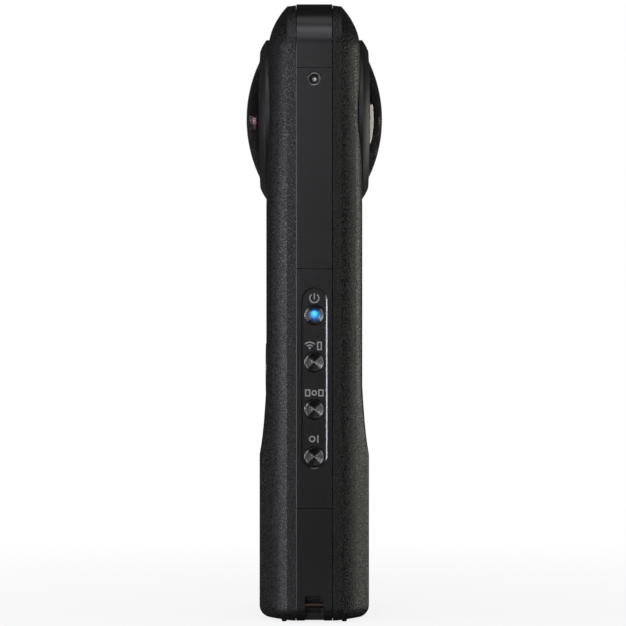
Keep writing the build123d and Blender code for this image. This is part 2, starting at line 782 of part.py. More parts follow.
# The chassis: a rail round the inside of the strip, with a rib, ledges and bosses
strap_clear = slot_top + pocket_wall + side_gap
with BuildPart() as chassis:
    extrude(rounded_front(rail_outer, rail_floor, rail_top, rail_outer_corner, rail_low_corner),
            amount=rail_half_depth, both=True)
    extrude(
        rounded_front(rail_inner, rail_floor + rail_floor_thickness,
                      rail_top - rail_top_thickness, rail_inner_corner, 0),
        amount=rail_half_depth + overrun,
        both=True,
        mode=Mode.SUBTRACT,
    )
    # The corner by the strap slot steps inwards
    jog_x = pocket_back - pocket_wall - side_gap
    jog_top = strap_clear + rail_floor_thickness
    block((jog_x - rail_floor_thickness, -rail_half_depth, rail_floor),
          (jog_x, rail_half_depth, jog_top))
    block((jog_x, -rail_half_depth, strap_clear), (rail_inner, rail_half_depth, jog_top))
    block((jog_x, -rail_half_depth - overrun, rail_floor - overrun),
          (rail_outer + overrun, rail_half_depth + overrun, strap_clear), mode=Mode.SUBTRACT)
    # The rib under the optics lets the sensors' flexible circuits past
    block((-rail_inner, -rail_half_depth, rib_foot),
          (rail_inner, rail_half_depth, rib_foot + rib_thickness))
    flex_x = relay_end + optic_gap + sensor_chip + sensor_board
    for facing, side in ((-1, 1), (1, -1)):
        block((side * (flex_x - sensor_board), facing * web_half, rib_foot - overrun),
              (side * (flex_x + sensor_board), facing * (rail_half_depth + overrun),
               rib_foot + rib_thickness + overrun), mode=Mode.SUBTRACT)
    # Grooves for the optics frame
    for side in (1, -1):
        block((side * rail_inner, -web_half - touch_gap, lens_height - web_half_height - touch_gap),
              (side * (rail_inner + groove_depth), web_half + touch_gap,
               lens_height + web_half_height + touch_gap), mode=Mode.SUBTRACT)
    # Pockets for the shells' ears, with a screw boss behind each
    for height in ear_heights:
        for side in (1, -1):
            block((side * (ear_foot - touch_gap), -rail_half_depth - overrun,
                   height - ear_half_height - side_gap),
                  (side * (rail_outer + overrun), rail_half_depth + overrun,
                   height + ear_half_height + side_gap), mode=Mode.SUBTRACT)
            for y in (-side_screw_y, side_screw_y):
                rod((side * (rail_inner - boss_height), y, height), (side, 0, 0), boss_radius,
                    boss_height + half_seam)
                rod((side * (ear_top - side_screw_length - side_gap), y, height), (side, 0, 0),
                    screw_radius + screw_clearance, side_screw_length + overrun,
                    mode=Mode.SUBTRACT)
    # The window that the keys reach their switches through
    with BuildSketch(Plane(origin=(rail_inner, 0, key_middle), x_dir=(0, 0, 1), z_dir=(1, 0, 0))):
        SlotOverall(key_pitch * (key_count - 1) + 2 * key_window_half, 2 * key_window_half)
    extrude(amount=overrun, both=True, mode=Mode.SUBTRACT)
    # Seats for the microphones
    for side in (1, -1):
        seat = rail_outer - microphone_thickness - side_gap
        block((side * seat, -microphone_width / 2 - side_gap,
               port_hole_height - microphone_height / 2 - side_gap),
              (side * (rail_outer + overrun), microphone_width / 2 + side_gap,
               port_hole_height + microphone_height / 2 + side_gap), mode=Mode.SUBTRACT)
    # Ledges for the main board
    ledge_front = board_rear + touch_gap
    ledge_rear = ledge_front + ledge_thickness
    for side in (1, -1):
        block((side * (rail_inner + half_seam), ledge_front, ledge_height - ledge_half_height),
              (side * ledge_start, ledge_rear, ledge_height + ledge_half_height))
        block((side * (lug_x - lug_half_width), ledge_front, rib_foot - lug_length),
              (side * (lug_x + lug_half_width), ledge_rear, rib_foot + half_seam))
    for x, z in board_screw_spots:
        rod((x, ledge_front - overrun, z), (0, 1, 0), screw_radius + screw_clearance, 2 * overrun,
            mode=Mode.SUBTRACT)
    # Openings in the floor for the socket, the connector and the screws of the base plate
    rod((0, 0, rail_floor - overrun), (0, 0, 1), socket_radius + side_gap, 2 * overrun,
        mode=Mode.SUBTRACT)
    block((port_x - port_width / 2 - side_gap, board_front - side_gap, rail_floor - overrun),
          (port_x + port_width / 2 + side_gap, port_y + port_depth / 2 + side_gap,
           rail_floor + rail_floor_thickness + half_seam), mode=Mode.SUBTRACT)
    for side in (1, -1):
        rod((side * base_screw_x, base_screw_y, rail_floor - overrun), (0, 0, 1),
            screw_radius + screw_clearance, 2 * overrun, mode=Mode.SUBTRACT)
finish(chassis, "chassis")

# Lenses, prisms and sensors, one set on each face
cone_middle = (
    (ring_radius + ring_crown_radius) / 2,
    (ring_shoulder + ring_crown) / 2 + ring_cone_swell,
)
for side_name, facing in sides:
    plane = revolve_plane(facing, lens_height)
    turn = -facing  # the front prism turns the light to +X, the rear one to -X

    with BuildPart() as lens_ring:
        with BuildSketch(plane):
            with BuildLine():
                Polyline(
                    (ring_lip_radius, ring_lip),
                    (ring_lip_radius, dome_flange_top + optic_gap),
                    (dome_flange_radius + optic_gap, dome_flange_top + optic_gap),
                    (dome_flange_radius + optic_gap, flange_foot),
                    (flange_radius, flange_foot),
                    (flange_radius, flange_top),
                    (ring_radius, flange_top),
                    (ring_radius, ring_shoulder),
                )
                ThreePointArc((ring_radius, ring_shoulder), cone_middle,
                              (ring_crown_radius, ring_crown))
                Line((ring_crown_radius, ring_crown), (ring_lip_radius, ring_lip))
            make_face()
        revolve(axis=lens_axis)
        with BuildSketch(face_plane(facing, flange_foot, lens_height)):
            with GridLocations(2 * post_x, 2 * post_z, 2, 2):
                Circle(ear_radius)
            Circle(flange_radius - half_seam, mode=Mode.SUBTRACT)
        extrude(amount=flange_height)
        with BuildSketch(face_plane(facing, flange_foot, lens_height)):
            with GridLocations(2 * post_x, 2 * post_z, 2, 2):
                Circle(screw_radius + screw_clearance)
        extrude(amount=flange_height, mode=Mode.SUBTRACT)
    finish(lens_ring, f"{side_name}_lens_ring")

    with BuildPart() as lens_seal:
        with BuildSketch(plane):
            middle = (ring_radius + flange_radius) / 2 + touch_gap
            with Locations((middle, flange_top + seal_height / 2)):
                Rectangle(flange_radius - ring_radius - 2 * touch_gap, seal_height)
        revolve(axis=lens_axis)
    finish(lens_seal, f"{side_name}_lens_seal")

    dome_middle = dome_apex - dome_curve + math.sqrt(dome_curve**2 - (dome_radius / 2) ** 2)
    cavity_half_sag = cavity_curve - math.sqrt(cavity_curve**2 - (cavity_radius / 2) ** 2)
    cavity_apex = dome_foot + cavity_sag
    with BuildPart() as dome_lens:
        with BuildSketch(plane):
            with BuildLine():
                ThreePointArc((0, dome_apex), (dome_radius / 2, dome_middle),
                              (dome_radius, dome_shoulder))
                Polyline(
                    (dome_radius, dome_shoulder),
                    (dome_radius, dome_flange_top),
                    (dome_flange_radius, dome_flange_top),
                    (dome_flange_radius, dome_foot),
                    (cavity_radius, dome_foot),
                )
                ThreePointArc((cavity_radius, dome_foot),
                              (cavity_radius / 2, cavity_apex - cavity_half_sag), (0, cavity_apex))
                Line((0, cavity_apex), (0, dome_apex))
            make_face()
        revolve(axis=lens_axis)
    finish(dome_lens, f"{side_name}_dome_lens")

    barrel_top = dome_foot - optic_gap
    barrel_foot = barrel_top - barrel_plate
    with BuildPart() as lens_barrel:
        with BuildSketch(plane):
            with BuildLine():
                Polyline(
                    (second_cavity_radius + optic_gap, barrel_foot),
                    (dome_flange_radius - barrel_wall, barrel_foot),
                    (dome_flange_radius - barrel_wall, flange_foot),
                    (dome_flange_radius, flange_foot),
                    (dome_flange_radius, barrel_top),
                    (second_radius + optic_gap + barrel_wall, barrel_top),
                    (second_radius + optic_gap + barrel_wall, barrel_rim),
                    (second_radius + optic_gap, barrel_rim),
                    (second_radius + optic_gap, second_foot - touch_gap),
                    (second_cavity_radius + optic_gap, second_foot - touch_gap),
                    close=True,
                )
            make_face()
        revolve(axis=lens_axis)
    finish(lens_barrel, f"{side_name}_lens_barrel")

    second_sag = second_curve - math.sqrt(second_curve**2 - second_radius**2)
    second_half_sag = second_curve - math.sqrt(second_curve**2 - (second_radius / 2) ** 2)
    inner_sag = second_cavity_curve - math.sqrt(second_cavity_curve**2 - second_cavity_radius**2)
    inner_half_sag = second_cavity_curve - math.sqrt(
        second_cavity_curve**2 - (second_cavity_radius / 2) ** 2)
    second_apex = second_shoulder + second_sag
    inner_apex = second_foot + inner_sag
    with BuildPart() as second_lens:
        with BuildSketch(plane):
            with BuildLine():
                ThreePointArc((0, second_apex), (second_radius / 2, second_apex - second_half_sag),
                              (second_radius, second_shoulder))
                Polyline((second_radius, second_shoulder), (second_radius, second_foot),
                         (second_cavity_radius, second_foot))
                ThreePointArc((second_cavity_radius, second_foot),
                              (second_cavity_radius / 2, inner_apex - inner_half_sag), (0, inner_apex))
                Line((0, inner_apex), (0, second_apex))
            make_face()
        revolve(axis=lens_axis)
    finish(second_lens, f"{side_name}_second_lens")

    prism_foot = prism_face - prism_side
    with BuildPart() as prism:
        with BuildSketch(Plane.XY.offset(lens_height - half_prism)):
            with BuildLine():
                Polyline(
                    (-turn * half_prism, facing * prism_face),
                    (turn * half_prism, facing * prism_face),
                    (turn * half_prism, facing * prism_foot),
                    close=True,
                )
            make_face()
        extrude(amount=prism_side)
    finish(prism, f"{side_name}_prism")

    relay_y = facing * (prism_face + prism_foot) / 2
    with BuildPart() as relay_barrel:
        rod((turn * (relay_start + optic_gap), relay_y, lens_height), (turn, 0, 0), relay_radius,
            relay_end - relay_start - optic_gap)
        rod((turn * (relay_start - overrun), relay_y, lens_height), (turn, 0, 0), relay_bore,
            relay_end + overrun, mode=Mode.SUBTRACT)
    finish(relay_barrel, f"{side_name}_relay_barrel")

    chip_start = relay_end + optic_gap
    board_start = chip_start + sensor_chip
    chip_half_width = sensor_width / 2 - chip_margin
    chip_half_height = sensor_height / 2 - 2 * chip_margin
    with BuildPart() as image_sensor:
        block((turn * board_start, relay_y - sensor_width / 2, lens_height - sensor_height / 2),
              (turn * (board_start + sensor_board), relay_y + sensor_width / 2,
               lens_height + sensor_height / 2))
        block((turn * chip_start, relay_y - chip_half_width, lens_height - chip_half_height),
              (turn * board_start, relay_y + chip_half_width, lens_height + chip_half_height))
    finish(image_sensor, f"{side_name}_image_sensor")

    flex_start = board_start + sensor_board + touch_gap
    with BuildPart() as sensor_flex:
        block((turn * flex_start, relay_y - flex_width / 2, board_top - flex_drop),
              (turn * (flex_start + flex_thickness), relay_y + flex_width / 2,
               lens_height + sensor_height / 2 - chip_margin))
    finish(sensor_flex, f"{side_name}_sensor_flex")

# The frame that carries both sets of optics, back to back
post_reach = flange_foot - touch_gap
wall_low = half_prism + optic_gap
wall_high = wall_low + cheek
wall_reach = prism_face - cheek / 2
stop = flex_start + flex_thickness + optic_gap
with BuildPart() as optics_frame:
    with BuildSketch(Plane.XZ.offset(-web_half)):
        with Locations((0, lens_height)):
            RectangleRounded(2 * web_half_width, 2 * web_half_height, cheek)
            with GridLocations(2 * (half_prism + cheek + web_window_width / 2),
                               2 * (wall_high + web_window_height / 2 + cheek), 2, 2):
                RectangleRounded(web_window_width, web_window_height, cheek, mode=Mode.SUBTRACT)
    extrude(amount=2 * web_half)
    for side_name, facing in sides:
        turn = -facing
        with BuildSketch(face_plane(facing, 0, lens_height)):
            with GridLocations(2 * post_x, 2 * post_z, 2, 2):
                Circle(post_radius)
        extrude(amount=post_reach)
        with BuildSketch(face_plane(facing, post_reach, lens_height)):
            with GridLocations(2 * post_x, 2 * post_z, 2, 2):
                Circle(screw_radius + screw_clearance)
        extrude(amount=-optics_screw_length, mode=Mode.SUBTRACT)
        # On a wide body the sensor's flexible circuit runs past the lower post, which gives way
        block((turn * (flex_start - touch_gap),
               facing * (abs(relay_y) - flex_width / 2 - touch_gap),
               lens_height - post_z - post_radius - overrun),
              (turn * (flex_start + flex_thickness + touch_gap), facing * (post_reach + overrun),
               lens_height - post_z + post_radius + overrun), mode=Mode.SUBTRACT)
        # Walls above and below the prism and the relay barrel
        for side in (1, -1):
            block((-turn * (half_prism + cheek), facing * web_half, lens_height + side * wall_low),
                  (turn * half_prism, facing * wall_reach, lens_height + side * wall_high))
            block((turn * half_prism, facing * web_half, lens_height + side * wall_low),
                  (turn * (relay_end - cheek), abs(relay_y) * facing, lens_height + side * wall_high))
        # A wall behind the prism, and one behind the sensor
        block((-turn * (half_prism + cheek), facing * web_half, lens_height - wall_high),
              (-turn * (half_prism + optic_gap), facing * wall_reach, lens_height + wall_high))
        block((turn * stop, facing * web_half, lens_height - wall_high),
              (turn * (stop + cheek), facing * wall_reach, lens_height + wall_high))
finish(optics_frame, "optics_frame")

# The display behind its window
with BuildPart() as display_window:
    with BuildSketch(face_plane(-1, grip_half_depth - window_thickness, window_middle)):
        RectangleRounded(window_width, window_height, window_corner)
    extrude(amount=window_thickness)
finish(display_window, "display_window")

gasket_front = grip_inner - touch_gap
opening_width = window_width - 2 * window_land
opening_height = window_height - 2 * window_land
with BuildPart() as display_gasket:
    with BuildSketch(face_plane(-1, gasket_front - gasket_thickness, window_middle)):
        RectangleRounded(opening_width + 2 * gasket_wall, opening_height + 2 * gasket_wall,
                         window_corner)
        RectangleRounded(opening_width, opening_height, window_corner / 2, mode=Mode.SUBTRACT)
    extrude(amount=gasket_thickness)
finish(display_gasket, "display_gasket")

display_front = gasket_front - gasket_thickness - touch_gap
display_back = display_front - display_thickness
with BuildPart() as display_module:
    with BuildSketch(face_plane(-1, display_back, window_middle)):
        RectangleRounded(opening_width + 2 * display_margin, opening_height + 2 * display_margin,
                         window_corner / 2)
    extrude(amount=display_thickness / 2)
    with BuildSketch(face_plane(-1, display_back + display_thickness / 2, window_middle)):
        RectangleRounded(opening_width + display_margin, opening_height + display_margin,
                         window_corner / 2)
    extrude(amount=display_thickness / 2)
finish(display_module, "display_module")

# The main board and what sits on it
socket_reach = (prism_face + prism_foot) / 2
with BuildPart() as main_board:
    with BuildSketch(Plane.XZ.offset(-board_rear)):
        with Locations((0, (board_foot + board_top) / 2)):
            RectangleRounded(2 * board_half_width, board_top - board_foot, board_corner)
        tongue_middle = (tongue_foot + board_foot) / 2 + board_corner
        with Locations((port_x, tongue_middle)):
            Rectangle(port_width, board_foot - tongue_foot + 2 * board_corner)
        with Locations(*board_screw_spots):
            Circle(screw_radius + screw_clearance, mode=Mode.SUBTRACT)
    extrude(amount=board_thickness)
    # Sockets for the flexible circuits of the two sensors
    for facing, surface in ((-1, board_front), (1, board_rear)):
        turn = -facing
        socket_x = turn * (flex_x - sensor_board)
        block((socket_x, surface, board_top - flex_drop - sensor_board),
              (turn * (flex_x + sensor_board), facing * socket_reach, board_top - board_corner))
        block((turn * flex_x, facing * (abs(relay_y) - flex_width / 2 - touch_gap),
               board_top - flex_drop - touch_gap),
              (turn * (flex_x + touch_gap + flex_thickness + touch_gap), facing * (prism_face + overrun),
               board_top + overrun), mode=Mode.SUBTRACT)
finish(main_board, "main_board")

can_top_y = board_front - can_height
with BuildPart() as shield_can:
    with BuildSketch(face_plane(-1, -board_front, (can_foot + can_top) / 2)):
        RectangleRounded(2 * can_half_width, can_top - can_foot, can_corner)
    extrude(amount=can_height)
    chamfer(shield_can.faces().sort_by(Axis.Y)[0].edges(), spreader_gap)
finish(shield_can, "shield_can")

with BuildPart() as heat_spreader:
    with BuildSketch(face_plane(-1, -can_top_y + touch_gap, (can_foot + can_top) / 2)):
        RectangleRounded(2 * (can_half_width + spreader_margin), can_top - can_foot + spreader_margin,
                         can_corner)
    extrude(amount=spreader_thickness)
finish(heat_spreader, "heat_spreader")

with BuildPart() as shutter_switch:
    side = shutter_switch_side / 2
    block((-side, board_front, shutter_height - side),
          (side, board_front - shutter_switch_height, shutter_height + side))
    rod((0, board_front - shutter_switch_height, shutter_height), (0, -1, 0),
        shutter_plunger_radius, shutter_plunger)
finish(shutter_switch, "shutter_switch")

# The battery in its tray, behind the main board
tray_low = battery_foot - battery_play - tray_wall
tray_high = battery_top + battery_play + tray_wall
tray_middle = (battery_foot + battery_top) / 2
with BuildPart() as battery_tray:
    with BuildSketch(face_plane(1, tray_front, tray_middle)):
        RectangleRounded(2 * tray_half_width, tray_high - tray_low, battery_corner / 2)
    extrude(amount=tray_floor + tray_lip)
    with BuildSketch(face_plane(1, tray_front + tray_floor, tray_middle)):
        Rectangle(2 * (battery_half_width + battery_play),
                  battery_top - battery_foot + 2 * battery_play)
    extrude(amount=tray_lip + overrun, mode=Mode.SUBTRACT)
finish(battery_tray, "battery_tray")

with BuildPart() as battery:
    with BuildSketch(face_plane(1, battery_front, tray_middle)):
        Rectangle(2 * battery_half_width, battery_top - battery_foot)
    extrude(amount=battery_thickness)
    fillet(battery.edges().filter_by(Axis.Z), battery_corner)
finish(battery, "battery")

# The keys' own board and its switches
key_board_front = rail_inner - key_board_gap
with BuildPart() as key_board:
    with BuildSketch(Plane(origin=(key_board_front, 0, key_middle), x_dir=(0, 0, 1), z_dir=(-1, 0, 0))):
        RectangleRounded(key_pitch * (key_count - 1) + 2 * (key_window_half + key_board_margin),
                         2 * (key_window_half + key_board_margin), board_corner)
    extrude(amount=key_board_thickness)
finish(key_board, "key_board")

with BuildPart() as key_switches:
    for height in key_heights:
        block((key_board_front, -switch_side / 2, height - switch_side / 2),
              (key_switch_top - switch_slack, switch_side / 2, height + switch_side / 2))
        rod((key_switch_top - switch_slack, 0, height), (1, 0, 0), key_stem_radius, switch_slack)
finish(key_switches, "key_switches")

# Flexible circuits of the display and the keys
display_flex_y = display_back - flex_thickness
board_flex_y = -board_front + flex_thickness
flex_level = (board_foot + window_foot) / 2 + flex_thickness
with BuildPart() as display_flex:
    with BuildSketch(Plane.YZ):
        with BuildLine():
            FilletPolyline(
                (-display_flex_y, window_middle),
                (-display_flex_y, flex_level),
                (-board_flex_y, flex_level),
                (-board_flex_y, flex_level + flex_width),
                radius=flex_bend,
            )
        trace(line_width=flex_thickness)
    extrude(amount=flex_width / 2, both=True)
finish(display_flex, "display_flex")

key_flex_x = key_board_front - key_board_thickness - flex_thickness
with BuildPart() as key_flex:
    with BuildSketch(Plane.XY.offset(key_middle)):
        with BuildLine():
            FilletPolyline(
                (key_flex_x, key_window_half),
                (key_flex_x, -board_flex_y),
                (key_flex_x - flex_landing, -board_flex_y),
                radius=flex_bend / 2,
            )
        trace(line_width=flex_thickness)
    extrude(amount=flex_width / 2, both=True)
finish(key_flex, "key_flex")

# Microphones behind their ports, the speaker and the aerial
with BuildPart() as microphones:
    for side in (1, -1):
        seat = rail_outer - microphone_thickness - touch_gap
        block((side * seat, -microphone_width / 2, port_hole_height - microphone_height / 2),
              (side * (rail_outer - touch_gap), microphone_width / 2,
               port_hole_height + microphone_height / 2))
finish(microphones, "microphones")

with BuildPart() as microphone_trims:
    for side in (1, -1):
        plane = Plane(origin=(0, 0, port_hole_height), x_dir=(0, 0, 1), z_dir=(0, side, 0))
        with BuildSketch(plane):
            with BuildLine():
                Polyline(
                    (trim_hole, trim_mouth - trim_dish),
                    (trim_radius - trim_rim, trim_mouth),
                    (trim_radius, trim_mouth),
                    (trim_radius, trim_mouth - trim_length),
                    (trim_hole, trim_mouth - trim_length),
                    close=True,
                )
            make_face()
        revolve(axis=Axis((0, 0, port_hole_height), (1, 0, 0)))
finish(microphone_trims, "microphone_trims")

with BuildPart() as speaker:
    with BuildSketch(face_plane(1, grip_inner - 2 * side_gap - speaker_thickness, speaker_middle)):
        RectangleRounded(2 * speaker_half_width, speaker_height, speaker_corner)
    extrude(amount=speaker_thickness)
finish(speaker, "speaker")

with BuildPart() as antenna:
    block((-antenna_half_length, -antenna_half_width, rail_top + touch_gap),
          (antenna_half_length, antenna_half_width, rail_top + touch_gap + antenna_thickness))
finish(antenna, "antenna")

# Screws


def screw(head_face, direction, length):
    """A flat-headed screw. The head lies on its face and the shank runs on."""
    rod(head_face, direction, screw_radius, length)
    back = tuple(-d for d in direction)
    rod(head_face, back, screw_head_radius, screw_head_height)


with BuildPart() as shell_screws:
    for height in ear_heights:
        for side in (1, -1):
            for y in (-side_screw_y, side_screw_y):
                screw((side * ear_top, y, height), (-side, 0, 0), side_screw_length)
finish(shell_screws, "shell_screws")

with BuildPart() as base_screws:
    for side in (1, -1):
        screw((side * base_screw_x, base_screw_y, plate_foot + screw_head_height), (0, 0, 1),
              base_screw_length)
finish(base_screws, "base_screws")

with BuildPart() as optics_screws:
    for side_name, facing in sides:
        for x in (-post_x, post_x):
            for z in (lens_height - post_z, lens_height + post_z):
                screw((x, facing * flange_top, z), (0, -facing, 0), optics_screw_length)
finish(optics_screws, "optics_screws")

with BuildPart() as board_screws:
    for x, z in board_screw_spots:
        screw((x, board_front, z), (0, 1, 0), board_screw_length)
finish(board_screws, "board_screws")

# The shutter button
shutter_low = shutter_face - shutter_dish
with BuildPart() as shutter_button:
    with BuildSketch(revolve_plane(-1, shutter_height)):
        with BuildLine():
            ThreePointArc(
                (0, shutter_low),
                ((shutter_radius - shutter_rim) / 2, shutter_low + shutter_dish * dish_middle_share),
                (shutter_radius - shutter_rim, shutter_face),
            )
            Polyline(
                (shutter_radius - shutter_rim, shutter_face),
                (shutter_radius - shutter_edge, shutter_face),
                (shutter_radius, shutter_face - shutter_edge),
                (shutter_radius, shutter_flange_top),
                (shutter_radius + shutter_flange, shutter_flange_top),
                (shutter_radius + shutter_flange, shutter_flange_foot),
                (shutter_stem_radius, shutter_flange_foot),
                (shutter_stem_radius, shutter_stem_end),
                (0, shutter_stem_end),
                (0, shutter_low),
            )
        make_face()
    revolve(axis=Axis((0, 0, shutter_height), (0, 1, 0)))
finish(shutter_button, "shutter_button")

# The four keys, from the top down: power, wireless, mode and function
key_names = ("function_button", "mode_button", "wireless_button", "power_button")
dish_floor = key_face - key_dish_depth
for name, height in zip(key_names, key_heights):
    with BuildPart() as key:
        with BuildSketch(key_plane(height)):
            with BuildLine():
                ThreePointArc(
                    (0, dish_floor),
                    (key_dish_radius / 2, dish_floor + key_dish_depth * dish_middle_share),
                    (key_dish_radius, key_face),
                )
                Polyline(
                    (key_dish_radius, key_face),
                    (key_radius - key_rim_chamfer, key_face),
                    (key_radius, key_face - key_rim_chamfer),
                    (key_radius, key_flange_top),
                    (key_flange_radius, key_flange_top),
                    (key_flange_radius, key_flange_foot),
                    (key_stem_radius, key_flange_foot),
                    (key_stem_radius, key_stem_end),
                    (0, key_stem_end),
                    (0, dish_floor),
                )
            make_face()
        revolve(axis=Axis((0, 0, height), (1, 0, 0)))
        if name == "power_button":
            rod((key_flange_top, 0, height), (1, 0, 0), lamp_radius + touch_gap, overrun,
                mode=Mode.SUBTRACT)
    finish(key, name)

with BuildPart() as power_lamp:
    rod((key_flange_top + touch_gap, 0, key_heights[-1]), (1, 0, 0), lamp_radius,
        dish_floor - key_flange_top)
finish(power_lamp, "power_lamp")
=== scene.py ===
import math

import bmesh
import bpy
from mathutils import Matrix, Vector


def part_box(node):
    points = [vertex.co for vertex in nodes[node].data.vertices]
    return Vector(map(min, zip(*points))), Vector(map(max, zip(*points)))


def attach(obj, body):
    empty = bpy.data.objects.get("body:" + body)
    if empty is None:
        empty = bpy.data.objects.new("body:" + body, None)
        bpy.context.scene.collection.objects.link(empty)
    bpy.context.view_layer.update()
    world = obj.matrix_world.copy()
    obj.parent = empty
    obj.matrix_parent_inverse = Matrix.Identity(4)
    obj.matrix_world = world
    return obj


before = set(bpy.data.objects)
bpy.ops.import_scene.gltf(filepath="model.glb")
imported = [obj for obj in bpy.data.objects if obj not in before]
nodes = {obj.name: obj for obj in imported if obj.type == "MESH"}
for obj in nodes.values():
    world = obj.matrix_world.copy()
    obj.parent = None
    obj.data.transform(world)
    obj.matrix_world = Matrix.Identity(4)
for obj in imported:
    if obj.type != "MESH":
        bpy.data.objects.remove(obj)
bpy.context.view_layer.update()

# Lengths are in metres. The small ones are written as so many millimetres.
MM = 0.001


def middle(node):
    """The middle of a node's box."""
    low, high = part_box(node)
    return (Vector(low) + Vector(high)) / 2


# Places that the looks are hung on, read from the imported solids
LENS_HEIGHT = middle("front_lens_ring").z
STRIP_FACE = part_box("button_panel")[1][0]
RECESS_FLOOR = STRIP_FACE - 0.2 * MM
KEY_NODES = ("power_button", "wireless_button", "mode_button", "function_button")


class Wire:
    """A node socket that ordinary expressions can be written with."""

    def __init__(self, tree, socket=None):
        self.tree = tree
        self.socket = socket

    def node(self, kind, settings=None, sockets=None, output=0):
        """Adds a node: its settings first, then the values or links of its sockets."""
        made = self.tree.nodes.new("ShaderNode" + kind)
        for name, value in (settings or {}).items():
            if name == "stops":
                ramp = made.color_ramp
                while len(ramp.elements) < len(value):
                    ramp.elements.new(0.5)
                for stop, (share, colour) in zip(ramp.elements, value):
                    stop.position = share
                    stop.color = colour
            else:
                setattr(made, name, value)
        for name, value in (sockets or {}).items():
            if isinstance(value, Wire):
                self.tree.links.new(value.socket, made.inputs[name])
            else:
                made.inputs[name].default_value = value
        return Wire(self.tree, made.outputs[output])

    def end(self, kind, shader):
        """Adds the output node that takes the finished shader."""
        out = self.tree.nodes.new("ShaderNode" + kind)
        self.tree.links.new(shader.socket, out.inputs["Surface"])

    def sums(self, operation, *values):
        """A Math node on one, two or three values."""
        return self.node("Math", {"operation": operation}, dict(enumerate(values)))

    def __add__(self, other):
        return self.sums("ADD", self, other)

    def __radd__(self, other):
        return self.sums("ADD", other, self)

    def __sub__(self, other):
        return self.sums("SUBTRACT", self, other)

    def __rsub__(self, other):
        return self.sums("SUBTRACT", other, self)

    def __mul__(self, other):
        return self.sums("MULTIPLY", self, other)

    def __rmul__(self, other):
        return self.sums("MULTIPLY", other, self)

    def __truediv__(self, other):
        return self.sums("DIVIDE", self, other)

    def __rtruediv__(self, other):
        return self.sums("DIVIDE", other, self)

    def __pow__(self, other):
        return self.sums("POWER", self, other)

    def __rpow__(self, other):
        return self.sums("POWER", other, self)

    def clamped(self):
        """Held between 0 and 1."""
        return self.sums("MINIMUM", self.sums("MAXIMUM", self, 0.0), 1.0)

    def step(self, low, high):
        """Rises smoothly from 0 at low to 1 at high."""
        return self.node(
            "MapRange",
            {"interpolation_type": "SMOOTHSTEP"},
            {"Value": self, "From Min": low, "From Max": high},
        )

    def tint(self, dark, light):
        """A colour between two others, by this value."""
        ends = {0: self, 6: (*dark, 1), 7: (*light, 1)}
        return self.node("Mix", {"data_type": "RGBA"}, ends, 2)


def place(wire):
    """The point on the object, in its own coordinates."""
    return wire.node("TexCoord", output="Object")


def axes(wire, vector):
    """The three parts of a vector."""
    split = wire.node("SeparateXYZ", sockets={"Vector": vector})
    return [Wire(wire.tree, socket) for socket in split.socket.node.outputs]


def noise(wire, size, detail=2.0, roughness=0.5, stretch=None):
    """Smooth noise whose blobs are about one size across."""
    vector = place(wire)
    if stretch:
        vector = wire.node("Mapping", sockets={"Vector": vector, "Scale": stretch})
    return wire.node(
        "TexNoise",
        sockets={"Vector": vector, "Scale": 1 / size, "Detail": detail, "Roughness": roughness},
    )


def pebbles(wire, size):
    """Smooth hollows and hills of about one size, from the middles of random cells."""
    sockets = {"Vector": place(wire), "Scale": 1 / size, "Smoothness": 0.6}
    return wire.node("TexVoronoi", {"feature": "SMOOTH_F1"}, sockets, "Distance")


def cell_walls(wire, size):
    """The distance from the walls between random cells of about one size."""
    sockets = {"Vector": place(wire), "Scale": 1 / size}
    return wire.node("TexVoronoi", {"feature": "DISTANCE_TO_EDGE"}, sockets, "Distance")


def bump(wire, height, depth, strength):
    """A normal that follows a height, whose full rise is the depth."""
    return wire.node(
        "Bump", sockets={"Strength": strength, "Distance": depth, "Height": height}
    )


def from_axis(wire, centre, across):
    """How far a point is from an axis. across names the two directions square to it."""
    parts = axes(wire, place(wire))
    first = parts[across[0]] - centre[across[0]]
    second = parts[across[1]] - centre[across[1]]
    return (first * first + second * second) ** 0.5


def rings(wire, centre, across, pitch):
    """Fine circles about an axis."""
    return wire.sums("SINE", from_axis(wire, centre, across) * (2 * math.pi / pitch))


def spun(wire, centre, across, pitch, slope):
    """A normal that leans in and out along the radius, as the walls of fine turned grooves do."""
    wave = rings(wire, centre, across, pitch)
    radius = from_axis(wire, centre, across)
    parts = axes(wire, place(wire))
    flat = {"XYZ"[axis]: (parts[axis] - centre[axis]) / radius for axis in across}
    outward = wire.node("CombineXYZ", sockets=flat)
    lean = wire.node("VectorMath", {"operation": "SCALE"}, {0: outward, "Scale": wave * slope})
    normal = wire.node("NewGeometry", output="Normal")
    both = wire.node("VectorMath", {"operation": "ADD"}, {0: normal, 1: lean})
    return wire.node("VectorMath", {"operation": "NORMALIZE"}, {0: both})


def make_material(name, build):
    """A material whose one shader takes the sockets that build works out."""
    made = bpy.data.materials.new(name)
    made.use_nodes = True
    made.node_tree.nodes.clear()
    wire = Wire(made.node_tree)
    shader = wire.node("BsdfPrincipled", sockets=build(wire))
    wire.end("OutputMaterial", shader)
    return made


def dress(material, *names):
    """Puts a material on solids of the frame."""
    for name in names:
        for slot in nodes[name].material_slots:
            slot.material = material


# Finishes. Each works out the sockets of its material's shader.


def grained_paint(wire):
    """Black paint with a fine leather-like grain, as sprayed on the two shells."""
    grit = noise(wire, 0.30 * MM, 1).step(0.42, 0.58)
    cloud = noise(wire, 7 * MM, 2)
    shade = grit * 0.85 + cloud * 0.15
    height = pebbles(wire, 0.34 * MM) * 0.5 + grit * 0.5
    return {
        "Base Color": shade.tint((0.0008, 0.0008, 0.0009), (0.0125, 0.0125, 0.0127)),
        "Roughness": (0.23 + cloud * 0.04 + grit * 0.14).clamped(),
        "Normal": bump(wire, height, 0.06 * MM, 1.0),
    }


